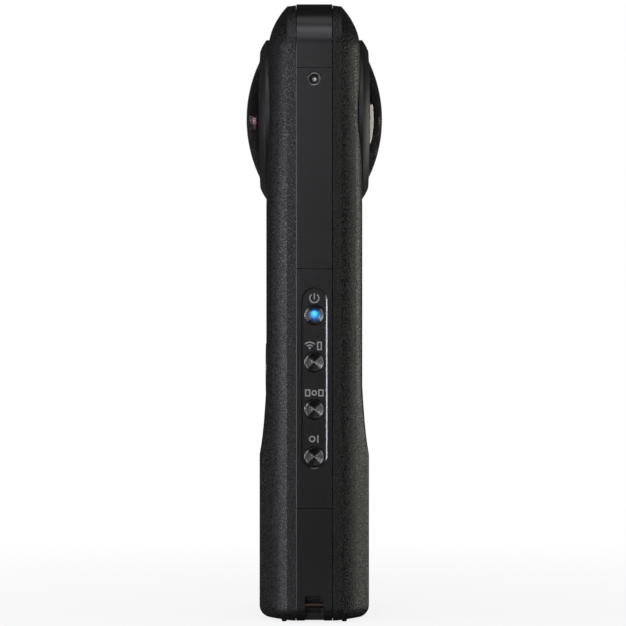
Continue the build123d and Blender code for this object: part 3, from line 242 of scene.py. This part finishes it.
def strip_plastic(wire):
    """Smooth moulded black plastic with a faint sheen."""
    fine = noise(wire, 0.12 * MM, 2)
    cloud = noise(wire, 12 * MM, 2)
    return {
        "Base Color": cloud.tint((0.004, 0.004, 0.0044), (0.0065, 0.0065, 0.007)),
        "Roughness": (0.22 + cloud * 0.03 + fine * 0.05).clamped(),
        "Normal": bump(wire, fine, 0.006 * MM, 0.5),
    }


def ring_paint(wire):
    """Satin black paint over fine turning."""
    turning = rings(wire, (0, 0, LENS_HEIGHT), (0, 2), 0.12 * MM)
    fine = noise(wire, 0.15 * MM, 2)
    return {
        "Base Color": fine.tint((0.008, 0.008, 0.009), (0.015, 0.015, 0.016)),
        "Roughness": 0.34 + fine * 0.1,
        "Normal": bump(wire, turning * 0.5 + fine, 0.004 * MM, 0.6),
    }


def cast_metal(wire):
    """Bright blasted metal as it leaves the mould."""
    fine = noise(wire, 0.3 * MM, 3)
    cloud = noise(wire, 5 * MM, 2)
    return {
        "Base Color": cloud.tint((0.42, 0.42, 0.43), (0.55, 0.55, 0.56)),
        "Roughness": 0.45 + fine * 0.2,
        "Metallic": 1.0,
        "Normal": bump(wire, fine, 0.03 * MM, 0.6),
    }


def turned_steel(wire):
    """Plain steel with the marks of turning about an upright axis."""
    turning = rings(wire, (0, 0, 0), (0, 1), 0.15 * MM)
    fine = noise(wire, 0.2 * MM, 2)
    return {
        "Base Color": fine.tint((0.50, 0.50, 0.51), (0.62, 0.62, 0.63)),
        "Roughness": 0.25 + fine * 0.12,
        "Metallic": 1.0,
        "Normal": bump(wire, turning, 0.004 * MM, 0.5),
    }


def rolled_sheet(wire):
    """Bright sheet metal with the long grain of its rolling."""
    grain = noise(wire, 0.25 * MM, 3, 0.6, (1, 1, 0.08))
    return {
        "Base Color": grain.tint((0.52, 0.52, 0.53), (0.68, 0.68, 0.69)),
        "Roughness": 0.28 + grain * 0.15,
        "Metallic": 1.0,
        "Normal": bump(wire, grain, 0.01 * MM, 0.5),
    }


def green_board(wire):
    """Solder mask over copper tracks."""
    tracks = cell_walls(wire, 1.6 * MM).step(0.05, 0.09)
    fine = noise(wire, 0.5 * MM, 2)
    shade = tracks * 0.7 + fine * 0.3
    return {
        "Base Color": shade.tint((0.012, 0.075, 0.035), (0.006, 0.035, 0.018)),
        "Roughness": 0.3 + fine * 0.1,
        "Normal": bump(wire, 1 - tracks, 0.03 * MM, 0.6),
    }


def amber_film(wire):
    """Amber film with parallel copper tracks in it."""
    lines = axes(wire, place(wire))[0] * (2 * math.pi / (0.5 * MM))
    tracks = wire.sums("SINE", lines).step(0.2, 0.5)
    fine = noise(wire, 0.4 * MM, 2)
    shade = tracks * 0.8 + fine * 0.2
    return {
        "Base Color": shade.tint((0.50, 0.22, 0.04), (0.30, 0.12, 0.02)),
        "Roughness": 0.3 + fine * 0.15,
    }


def foil_pouch(wire):
    """Grey foil with soft creases."""
    fine = noise(wire, 0.5 * MM, 4, 0.6)
    creases = noise(wire, 4 * MM, 3)
    return {
        "Base Color": fine.tint((0.42, 0.43, 0.45), (0.55, 0.56, 0.58)),
        "Roughness": 0.3 + fine * 0.2,
        "Metallic": 0.8,
        "Normal": bump(wire, creases + fine * 0.2, 0.08 * MM, 0.7),
    }


def speckled(dark, light, size, gloss, depth=0.0, relief=0.5, detail=3, even=None):
    """A finish whose colour, gloss and relief vary a little in specks of one size.

    gloss is the least roughness and what the specks add to it, depth is the height of the
    relief and relief its strength, and even holds the sockets that are the same all over.
    """

    def build(wire):
        specks = noise(wire, size, detail)
        sockets = {
            "Base Color": specks.tint(dark, light),
            "Roughness": gloss[0] + specks * gloss[1],
        }
        if depth:
            sockets["Normal"] = bump(wire, specks, depth, relief)
        sockets.update(even or {})
        return sockets

    return build


BARE_METAL = {"Metallic": 1.0}

matte_black = speckled(
    (0.010, 0.010, 0.011), (0.022, 0.022, 0.023), 0.2 * MM, (0.55, 0.2), 0.02 * MM, 0.6)
black_rubber = speckled(
    (0.008, 0.008, 0.008), (0.018, 0.018, 0.018), 0.1 * MM, (0.75, 0.15), 0.02 * MM)
moulded_grey = speckled(
    (0.045, 0.045, 0.048), (0.07, 0.07, 0.074), 0.15 * MM, (0.5, 0.2), 0.01 * MM)
polished_black = speckled(
    (0.010, 0.010, 0.010), (0.016, 0.016, 0.016), 0.4 * MM, (0.12, 0.08),
    even={"Coat Weight": 0.4})
blackened_metal = speckled(
    (0.012, 0.012, 0.012), (0.022, 0.022, 0.022), 0.1 * MM, (0.5, 0.2), 0.01 * MM, detail=2,
    even={"Metallic": 0.4})
black_screw = speckled(
    (0.05, 0.05, 0.052), (0.10, 0.10, 0.105), 0.15 * MM, (0.3, 0.2), 0.01 * MM,
    even={"Metallic": 0.9})
brown_pin = speckled(
    (0.05, 0.036, 0.028), (0.09, 0.066, 0.05), 0.15 * MM, (0.3, 0.15), 0.01 * MM,
    even=BARE_METAL)
lip_black = speckled(
    (0.10, 0.10, 0.102), (0.14, 0.14, 0.142), 0.3 * MM, (0.2, 0.1), even=BARE_METAL)
port_metal = speckled(
    (0.60, 0.60, 0.61), (0.75, 0.75, 0.76), 0.3 * MM, (0.2, 0.1), even=BARE_METAL)
gold_contact = speckled(
    (0.72, 0.50, 0.20), (0.85, 0.62, 0.28), 0.2 * MM, (0.22, 0.15), detail=2, even=BARE_METAL)
# A pale finish for the port membranes, which stand in for the ports' glint as a painted highlight
pale_membrane_glint = speckled(
    (0.80, 0.80, 0.79), (0.90, 0.90, 0.89), 0.08 * MM, (0.35, 0.2), detail=2)
printed_grey = speckled(
    (0.21, 0.215, 0.22), (0.29, 0.295, 0.30), 0.1 * MM, (0.5, 0.2))
smoked_glass = speckled(
    (0.004, 0.004, 0.005), (0.006, 0.006, 0.007), 4 * MM, (0.05, 0.03),
    even={"Coat Weight": 0.5})
# The domes' clear glass has a warm coating, and the lenses behind it a purple one
dome_glass = speckled(
    (0.62, 0.58, 0.60), (0.68, 0.64, 0.66), 3 * MM, (0.0, 0.01),
    even={"IOR": 1.5, "Specular IOR Level": 0.25, "Transmission Weight": 1.0,
          "Specular Tint": (0.6, 0.47, 0.37, 1.0)})
inner_glass = speckled(
    (0.75, 0.80, 0.78), (0.82, 0.86, 0.84), 2 * MM, (0.0, 0.01),
    even={"IOR": 1.7, "Transmission Weight": 1.0, "Specular Tint": (1.0, 0.35, 0.75, 1.0)})

KEY_BANDS = 0.52 * MM  # from one broad ring of a key's finish to the next
KEY_GROOVES = 0.11 * MM  # from one turned groove to the next
GROOVE_SLOPE = 0.22
PAINTED_SPILL_RADIUS = 1.65 * MM  # where the painted glow of the lamp's light on its key ends
GLOW_RADIUS = 1.2 * MM
GLOW_RISE = 0.25 * MM  # how far the glow's middle is above the lamp's
# The glow's colours from its middle to its edge
GLOW = [
    (0.0, (0.08, 0.98, 1.0, 1)), (0.34, (0.05, 0.62, 1.0, 1)), (0.55, (0.03, 0.36, 0.75, 1)),
    (0.8, (0.012, 0.15, 0.45, 1)), (1.0, (0.004, 0.05, 0.24, 1)),
]


def spun_key_painted_highlight(centre, across, with_painted_glow=False, painted_shade_level=0.03, painted_highlight_level=0.42):
    """Dark metal with a spun finish of fine circles.

    Its colour is painted: painted shade above and below the middle and a painted highlight at its
    two sides, at the two levels given, as spun metal lit from both sides looks.
    A key may also have its lamp's blue light painted on round the lamp as a glow.
    """

    def build(wire):
        bands = rings(wire, centre, across, KEY_BANDS)
        radius = from_axis(wire, centre, across)
        fine = noise(wire, 0.1 * MM, 2)
        sideways = (axes(wire, place(wire))[across[0]] - centre[across[0]]) / radius
        # Painted highlight at the two sides and painted shade above and below, set by angle about
        # the key's middle
        painted_highlight_lobes = (sideways * sideways).step(0.38, 0.72)
        shade = painted_highlight_lobes * (fine * 0.4 + (bands * 0.2 + 0.4))
        sockets = {
            "Base Color": shade.tint((painted_shade_level,) * 3, (painted_highlight_level,) * 3),
            "Roughness": 0.18 + fine * 0.08,
            "Metallic": 1.0,
            "Normal": spun(wire, centre, across, KEY_GROOVES, GROOVE_SLOPE),
        }
        if with_painted_glow:
            # Painted light: the lamp's blue spill painted on the key round the lamp as a glow
            painted_spill = 1 - (radius / PAINTED_SPILL_RADIUS).step(0.6, 1.0)
            sockets["Emission Color"] = painted_spill.tint((0, 0, 0), (0.008, 0.055, 0.18))
            sockets["Emission Strength"] = 1.0
        return sockets

    return build


def lit_lamp(wire):
    """A blue diffuser that is brightest in its middle."""
    centre = middle("power_lamp") + Vector((0, 0, GLOW_RISE))
    edge = from_axis(wire, centre, (1, 2)) / GLOW_RADIUS
    return {
        "Base Color": edge.clamped().tint((0.01, 0.05, 0.16), (0.006, 0.02, 0.08)),
        "Roughness": 0.3 + edge.clamped() * 0.1,
        "Emission Color": wire.node("ValToRGB", {"stops": GLOW}, {"Fac": edge}),
        "Emission Strength": 1.0,
    }


# The cosines between which white begins straight behind the object
BEHIND = (0.985, 1.0)


def ray_kinds(wire):
    """Whether a ray comes from the camera, and whether it is mirrored or refracted."""
    seen = wire.node("LightPath", output="Is Camera Ray")
    rays = seen.socket.node.outputs
    glossy = Wire(wire.tree, rays["Is Glossy Ray"])
    through = Wire(wire.tree, rays["Is Transmission Ray"])
    return seen, (glossy + through).clamped()


def pale_floor_material():
    """Keeps a faint shadow, and is as white as the background to the camera."""
    made = bpy.data.materials.new("pale_floor")
    made.use_nodes = True
    made.node_tree.nodes.clear()
    wire = Wire(made.node_tree)
    seen, mirrored = ray_kinds(wire)
    towards, sideways, _ = axes(wire, place(wire))
    away = (towards * towards + sideways * sideways) ** 0.5
    far = away.step(0.05, 0.25)
    behind = ((0 - towards) / away).step(*BEHIND) * far
    dark = mirrored * (1 - behind)
    colour = dark.tint((0.88, 0.88, 0.88), (0.12, 0.12, 0.12))
    matte = wire.node("BsdfDiffuse", sockets={"Color": colour})
    smooth = wire.node("BsdfAnisotropic", sockets={"Color": (1, 1, 1, 1), "Roughness": 0.12})
    shine = wire.node("Fresnel", sockets={"IOR": 1.45}) * mirrored * (1 - behind)
    ground = wire.node("MixShader", sockets={0: shine, 1: matte, 2: smooth})
    white = wire.node("Emission", sockets={"Color": (1, 1, 1, 1), "Strength": 1.0})
    whiteness = (0.85 + 0.15 * far) * seen + 0.95 * mirrored * behind
    wire.end("OutputMaterial", wire.node("MixShader", sockets={0: whiteness, 1: ground, 2: white}))
    return made


# The frame's own solids take their finishes
DRESSED = (
    ("grained_paint", grained_paint, ("front_shell", "rear_shell")),
    ("strip_plastic", strip_plastic, (
        "top_cap", "upper_right_panel", "button_panel", "lower_right_panel", "left_panel",
        "lower_left_panel")),
    ("matte_black", matte_black, ("base_plate",)),
    ("black_rubber", black_rubber, (
        "feet", "front_lens_seal", "rear_lens_seal", "display_gasket")),
    ("ring_paint", ring_paint, ("front_lens_ring", "rear_lens_ring")),
    ("dome_glass", dome_glass, ("front_dome_lens", "rear_dome_lens")),
    ("inner_glass", inner_glass, (
        "front_second_lens", "rear_second_lens", "front_prism", "rear_prism")),
    ("smoked_glass", smoked_glass, ("display_window",)),
    ("blackened_metal", blackened_metal, (
        "front_lens_barrel", "rear_lens_barrel", "front_relay_barrel", "rear_relay_barrel")),
    ("cast_metal", cast_metal, ("chassis", "optics_frame")),
    ("turned_steel", turned_steel, ("tripod_socket",)),
    ("rolled_sheet", rolled_sheet, (
        "shield_can", "heat_spreader", "usb_connector", "microphones")),
    ("black_screw", black_screw, (
        "shell_screws", "base_screws", "optics_screws", "board_screws")),
    ("brown_pin", brown_pin, ("strap_pin",)),
    ("green_board", green_board, (
        "main_board", "key_board", "front_image_sensor", "rear_image_sensor")),
    ("amber_film", amber_film, (
        "front_sensor_flex", "rear_sensor_flex", "display_flex", "key_flex", "antenna")),
    ("foil_pouch", foil_pouch, ("battery",)),
    ("moulded_grey", moulded_grey, (
        "battery_tray", "key_switches", "shutter_switch", "speaker")),
    ("polished_black", polished_black, ("microphone_trims", "display_module")),
    ("lit_lamp", lit_lamp, ("power_lamp",)),
)
for name, build, dressed in DRESSED:
    dress(make_material(name, build), *dressed)
# The keys' spun finishes carry a painted highlight at their two sides and painted shade above and
# below, and the power key a painted glow of its lamp's light
for key in KEY_NODES:
    dress(make_material("spun_" + key, spun_key_painted_highlight(middle(key), (1, 2), key == "power_button")), key)
# The shutter's spun finish carries the same painted highlight and painted shade, fainter
shutter_painted_highlight = spun_key_painted_highlight(middle("shutter_button"), (0, 2), painted_shade_level=0.08, painted_highlight_level=0.2)
dress(make_material("spun_shutter", shutter_painted_highlight), "shutter_button")


# New pieces


def finished(name, mesh, material, body):
    """Turns a bmesh into a piece of the scene that rides on a body."""
    bmesh.ops.remove_doubles(mesh, verts=mesh.verts, dist=0.0001 * MM)
    bmesh.ops.recalc_face_normals(mesh, faces=mesh.faces)
    data = bpy.data.meshes.new(name)
    mesh.to_mesh(data)
    mesh.free()
    piece = bpy.data.objects.new(name, data)
    bpy.context.collection.objects.link(piece)
    data.materials.append(material)
    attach(piece, body)


def bar(mesh, centre, size, round_off=0.0):
    """A small block, whose edges may be rounded off."""
    made = bmesh.ops.create_cube(
        mesh, size=1, matrix=Matrix.Translation(centre) @ Matrix.Diagonal((*size, 1))
    )
    if round_off:
        edges = {e for v in made["verts"] for e in v.link_edges}
        bmesh.ops.bevel(
            mesh, geom=list(edges), offset=round_off, segments=2, profile=0.5, affect="EDGES",
            material=-1,
        )


PRINT_THICKNESS = 0.02 * MM
PRINT_X = RECESS_FLOOR + PRINT_THICKNESS / 2
STROKE = 0.28 * MM  # the width of a printed line
printed = make_material("printed_grey", printed_grey)


def on_floor(across, height):
    """A place on the floor of the key recess, in millimetres."""
    return Vector((PRINT_X, across * MM, height * MM))


def arc(mesh, centre, radius, steps, start=0.0, sweep=360.0, width=STROKE):
    """A printed arc about an axis along X, with its start and sweep in degrees.

    A whole ring has no ends, so its section goes round without a face.
    """
    section = bmesh.ops.create_grid(mesh, x_segments=1, y_segments=1, size=0.5)["verts"]
    shape = (
        Matrix.Translation(centre)
        @ Matrix.Rotation(math.radians(start), 4, "X")
        @ Matrix.Translation((0, 0, radius))
        @ Matrix.Diagonal((PRINT_THICKNESS, 1, width, 1))
        @ Matrix.Rotation(math.pi / 2, 4, "X")
    )
    bmesh.ops.transform(mesh, matrix=shape, verts=section)
    faces = list({f for v in section for f in v.link_faces})
    edges = list({e for f in faces for e in f.edges})
    whole = sweep == 360.0
    if whole:
        bmesh.ops.delete(mesh, geom=faces, context="FACES_ONLY")
        faces = []
    bmesh.ops.spin(
        mesh, geom=section + edges + faces, cent=centre, axis=(1, 0, 0), dvec=(0, 0, 0),
        angle=math.radians(sweep), steps=steps, use_merge=whole, use_duplicate=False,
    )


def upright(mesh, centre, height):
    """A printed upright line."""
    bar(mesh, centre, (PRINT_THICKNESS, STROKE, height))


def open_box(mesh, centre, width, height):
    """A printed rectangle of one line."""
    for side in (-1, 1):
        upright(mesh, centre + Vector((0, side * (width - STROKE) / 2, 0)), height)
        bar(mesh, centre + Vector((0, 0, side * (height - STROKE) / 2)),
            (PRINT_THICKNESS, width - 2 * STROKE, STROKE))


def hoop(mesh, centre, radius, thickness):
    """A ring of round section about an axis along X."""
    start = (
        Matrix.Translation(centre + Vector((0, 0, radius)))
        @ Matrix.Rotation(math.pi / 2, 4, "X")
    )
    section = bmesh.ops.create_circle(mesh, segments=12, radius=thickness, matrix=start)
    bmesh.ops.spin(
        mesh, geom=section["verts"] + list({e for v in section["verts"] for e in v.link_edges}),
        cent=centre, axis=(1, 0, 0), dvec=(0, 0, 0), angle=2 * math.pi, steps=56, use_merge=True,
        use_duplicate=False,
    )


# The standby sign over the power key: an open ring and a bar
sign = bmesh.new()
at = on_floor(0, 68.85)
arc(sign, at, 0.95 * MM, 36, 38, 284)
upright(sign, at + Vector((0, 0, 0.38 * MM)), 1.25 * MM)
finished("power_sign", sign, printed, "camera")

# Two waves over a dot, and an upright box, for the wireless key
sign = bmesh.new()
at = on_floor(-0.97, 58.1)
arc(sign, at, 1.42 * MM, 16, -46, 92)
arc(sign, at, 0.82 * MM, 12, -46, 92)
arc(sign, at + Vector((0, 0, 0.22 * MM)), 0.13 * MM, 16, width=0.26 * MM)
open_box(sign, on_floor(1.1, 58.75), 1.05 * MM, 1.8 * MM)
finished("wireless_sign", sign, printed, "camera")

# A box, a ring and a box for the mode key
sign = bmesh.new()
for side in (-1, 1):
    open_box(sign, on_floor(side * 1.4, 48.8), 1.15 * MM, 1.5 * MM)
arc(sign, on_floor(0, 48.8), 0.45 * MM, 24)
finished("mode_sign", sign, printed, "camera")

# A ring and a bar for the function key
sign = bmesh.new()
arc(sign, on_floor(-0.45, 39.05), 0.55 * MM, 28)
upright(sign, on_floor(0.75, 39.05), 1.6 * MM)
finished("function_sign", sign, printed, "camera")

# The sloped lip round the foot of the key recess: a three-cornered section that turns about
# the middle of each round end and runs straight between the two
LIP_REACH = 0.26 * MM
RECESS_LENGTH = 38.4 * MM
RECESS_HALF = 2.75 * MM  # half of its width
RECESS_MIDDLE = 51.9 * MM
LIP_SECTION = (
    (RECESS_FLOOR, RECESS_HALF),
    (STRIP_FACE, RECESS_HALF),
    (RECESS_FLOOR, RECESS_HALF - LIP_REACH),
)
lip = bmesh.new()
tubes = []
for end in (1, -1):
    centre = Vector((0, 0, RECESS_MIDDLE + end * (RECESS_LENGTH / 2 - RECESS_HALF)))
    corners = [lip.verts.new(centre + Vector((x, end * out, 0))) for x, out in LIP_SECTION]
    first = [lip.edges.new((corners[side - 1], corners[side])) for side in range(3)]
    turned = bmesh.ops.spin(
        lip, geom=corners + first, cent=centre, axis=(1, 0, 0), dvec=(0, 0, 0), angle=math.pi,
        steps=24, use_merge=False, use_duplicate=False,
    )
    last = [part for part in turned["geom_last"] if isinstance(part, bmesh.types.BMEdge)]
    tubes.append((first, last))
(top_first, top_last), (foot_first, foot_last) = tubes
bmesh.ops.bridge_loops(lip, edges=top_last + foot_first)
bmesh.ops.bridge_loops(lip, edges=foot_last + top_first)
finished("recess_lip", lip, make_material("lip_black", lip_black), "camera")

# The rounded rim of each microphone port, and a pale membrane in it, set off its middle where the
# port's glint shows: a painted highlight
PORT_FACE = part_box("microphone_trims")[1][0]
PORT_HEIGHT = middle("microphone_trims").z
RIM_RADIUS = 1.26 * MM
RIM_THICKNESS = 0.09 * MM
RIM_SINK = 0.08 * MM  # how far the rim's own middle lies under the trim's face
MEMBRANE_SINK = 0.62 * MM
GLINT_OFFSET = 0.18 * MM  # towards the rear, where the painted highlight of the port's glint sits
MEMBRANE = (0.12 * MM, 0.26 * MM, 0.26 * MM)  # its half sizes
rims = bmesh.new()
membrane_glints = bmesh.new()
for side in (-1, 1):
    at = Vector((side * (PORT_FACE - RIM_SINK), 0, PORT_HEIGHT))
    hoop(rims, at, RIM_RADIUS, RIM_THICKNESS)
    at = Vector((side * (PORT_FACE - MEMBRANE_SINK), GLINT_OFFSET, PORT_HEIGHT))
    bmesh.ops.create_uvsphere(
        membrane_glints, u_segments=24, v_segments=12, radius=1,
        matrix=Matrix.Translation(at) @ Matrix.Diagonal((*MEMBRANE, 1)),
    )
finished("port_rims", rims, make_material("port_rim_metal", port_metal), "camera")
finished("port_membrane_glints", membrane_glints, make_material("pale_membrane_glint", pale_membrane_glint), "camera")

# The thread in the tripod socket: a ridge on its wall that climbs one pitch a turn
THREAD_PITCH = 1.27 * MM
THREAD_TURNS = 4
THREAD_STEPS = 32  # in a turn
# The ridge's corners: radius, and rise over the socket's lower end
THREAD_RIDGE = ((3.24 * MM, 0.06 * MM), (2.62 * MM, 0.56 * MM), (2.62 * MM, 0.72 * MM),
                (3.24 * MM, 1.22 * MM))
socket_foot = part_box("tripod_socket")[0][2]
thread = bmesh.new()
ridge = [thread.verts.new(Vector((radius, 0, socket_foot + rise)))
         for radius, rise in THREAD_RIDGE]
thread.faces.new(ridge)
bmesh.ops.spin(
    thread, geom=ridge + list(thread.edges) + list(thread.faces), cent=(0, 0, 0), axis=(0, 0, 1),
    dvec=(0, 0, THREAD_PITCH / THREAD_STEPS), angle=2 * math.pi * THREAD_TURNS,
    steps=THREAD_TURNS * THREAD_STEPS, use_merge=False, use_duplicate=False,
)
threaded_steel = make_material("threaded_steel", turned_steel)
finished("socket_thread", thread, threaded_steel, "camera")

# The cross recesses of the base screws, drawn as thin dark sheets on the heads' faces: painted
# shade where the hollows would be
screw_low, screw_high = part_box("base_screws")
HEAD_RADIUS = 1.15 * MM
CROSS_ARM = 1.3 * MM
CROSS_WIDTH = 0.28 * MM
CROSS_THICKNESS = 0.02 * MM
cross_shades = bmesh.new()
for side in (-1, 1):
    at = Vector((side * (screw_high[0] - HEAD_RADIUS), (screw_low[1] + screw_high[1]) / 2,
                 screw_low[2] - CROSS_THICKNESS / 2))
    bar(cross_shades, at, (CROSS_ARM, CROSS_WIDTH, CROSS_THICKNESS))
    bar(cross_shades, at, (CROSS_WIDTH, CROSS_ARM, CROSS_THICKNESS))
finished("screw_cross_shades", cross_shades, make_material("recess_painted_shade", matte_black), "camera")

# The connector's dark tongue, a sleeve over the solid's own, with gold contacts on both sides
connector = middle("usb_connector")
PORT_END = 1.2 * MM  # how thick the connector's closed end is, which the tongue hangs from
TONGUE_LENGTH = 4.45 * MM
TONGUE_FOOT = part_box("usb_connector")[1][2] - PORT_END - TONGUE_LENGTH
SLEEVE = (6.75 * MM, 0.76 * MM, 4.46 * MM)
SLEEVE_RISE = 2.2 * MM  # from the tongue's foot to the sleeve's middle
CONTACT = (0.26 * MM, 0.03 * MM, 3.4 * MM)
CONTACT_RISE = 2.0 * MM
CONTACT_OFFSET = 0.385 * MM  # from the tongue's middle plane
CONTACT_PITCH = 0.5 * MM
CONTACTS = 12  # on each side
tongue = bmesh.new()
bar(tongue, Vector((connector.x, connector.y, TONGUE_FOOT + SLEEVE_RISE)), SLEEVE, 0.1 * MM)
tongue_black = make_material("tongue_black", moulded_grey)
finished("port_tongue", tongue, tongue_black, "camera")
contacts = bmesh.new()
for step in range(CONTACTS):
    along = connector.x + (step - (CONTACTS - 1) / 2) * CONTACT_PITCH
    for side in (-1, 1):
        at = Vector((along, connector.y + side * CONTACT_OFFSET, TONGUE_FOOT + CONTACT_RISE))
        bar(contacts, at, CONTACT)
gold = make_material("gold_contact", gold_contact)
finished("port_contacts", contacts, gold, "camera")

# Floor, world, lamps and camera
FLOOR_REACH = 3.0
floor_mesh = bmesh.new()
bmesh.ops.create_grid(floor_mesh, x_segments=1, y_segments=1, size=FLOOR_REACH)
floor_data = bpy.data.meshes.new("floor")
floor_mesh.to_mesh(floor_data)
floor_mesh.free()
floor = bpy.data.objects.new("floor", floor_data)
bpy.context.collection.objects.link(floor)
floor_data.materials.append(pale_floor_material())

world = bpy.data.worlds.new("studio")
bpy.context.scene.world = world
world.use_nodes = True
world.node_tree.nodes.clear()
air = Wire(world.node_tree)
seen, mirrored = ray_kinds(air)
facing = axes(air, air.node("TexCoord", output="Generated"))
# What black surfaces mirror: a dark room, and white straight behind the object
room = (0 - facing[0]).step(*BEHIND) * 0.95 + 0.03
strength = seen + (1 - seen) * (mirrored * room + (1 - mirrored) * 0.5)
backdrop = air.node("Background", sockets={"Color": (1, 1, 1, 1), "Strength": strength})
air.end("OutputWorld", backdrop)

LIT_POINT = Vector((0, 0, 0.07))  # the middle of the object's height, which the lamps look at


def softbox(name, azimuth, elevation, distance, width, height, power, colour):
    """A soft lamp. Azimuth 0 is the photo's viewpoint."""
    lamp = bpy.data.lights.new(name, "AREA")
    lamp.color = colour
    lamp.shape = "RECTANGLE"
    lamp.size = width
    lamp.size_y = height
    lamp.energy = power
    turn, lift = math.radians(azimuth), math.radians(elevation)
    level = math.cos(lift)
    away = Vector((level * math.cos(turn), level * math.sin(turn), math.sin(lift))) * distance
    stand = bpy.data.objects.new(name, lamp)
    stand.location = away + LIT_POINT
    stand.rotation_euler = (LIT_POINT - stand.location).to_track_quat("-Z", "Y").to_euler()
    bpy.context.collection.objects.link(stand)


COOL = (0.93, 0.92, 1.0)
WARM = (1.0, 1.0, 0.89)
PLAIN = (1.0, 1.0, 1.0)
# Name, azimuth and elevation in degrees, distance, width, height, power in watts, and colour
LAMPS = (
    ("front_side_lamp", -92, 2.5, 0.9, 0.2, 0.24, 0.74, COOL),
    ("front_quarter_lamp", -72, 0.5, 0.5, 0.06, 0.13, 0.36, COOL),
    ("front_left_lamp", -13, 10, 0.9, 0.25, 0.3, 0.95, COOL),
    ("front_right_lamp", 14, 8, 0.9, 0.25, 0.3, 0.2, WARM),
    ("rear_side_lamp", 131, 2.5, 0.9, 0.18, 0.24, 0.4, WARM),
    ("rear_edge_lamp", 114, 2.5, 0.9, 0.12, 0.24, 0.1, WARM),
    ("high_lamp", -5, 38, 0.55, 0.25, 0.13, 0.17, COOL),
    ("higher_lamp", -5, 53, 0.55, 0.25, 0.12, 0.27, COOL),
    ("top_lamp", 0, 76, 0.6, 0.3, 0.2, 0.2, PLAIN),
)
for lamp in LAMPS:
    softbox(*lamp)

# The photo's viewpoint. Its focal length and shift were found in pixels of the picture's width.
PICTURE_WIDTH = 626
FOCAL_PIXELS = 3169
SHIFT_PIXELS = -1.3
eye = bpy.data.cameras.new("photo_view")
eye.sensor_width = 36
eye.lens = FOCAL_PIXELS * eye.sensor_width / PICTURE_WIDTH
eye.shift_x = SHIFT_PIXELS / PICTURE_WIDTH
eye.clip_start = 0.01
camera = bpy.data.objects.new("photo_view", eye)
camera.location = (0.694, 0, 0.0657)
camera.rotation_euler = (math.radians(90), 0, math.radians(90))
bpy.context.collection.objects.link(camera)
bpy.context.scene.camera = camera
bpy.context.scene.view_settings.view_transform = "Standard"
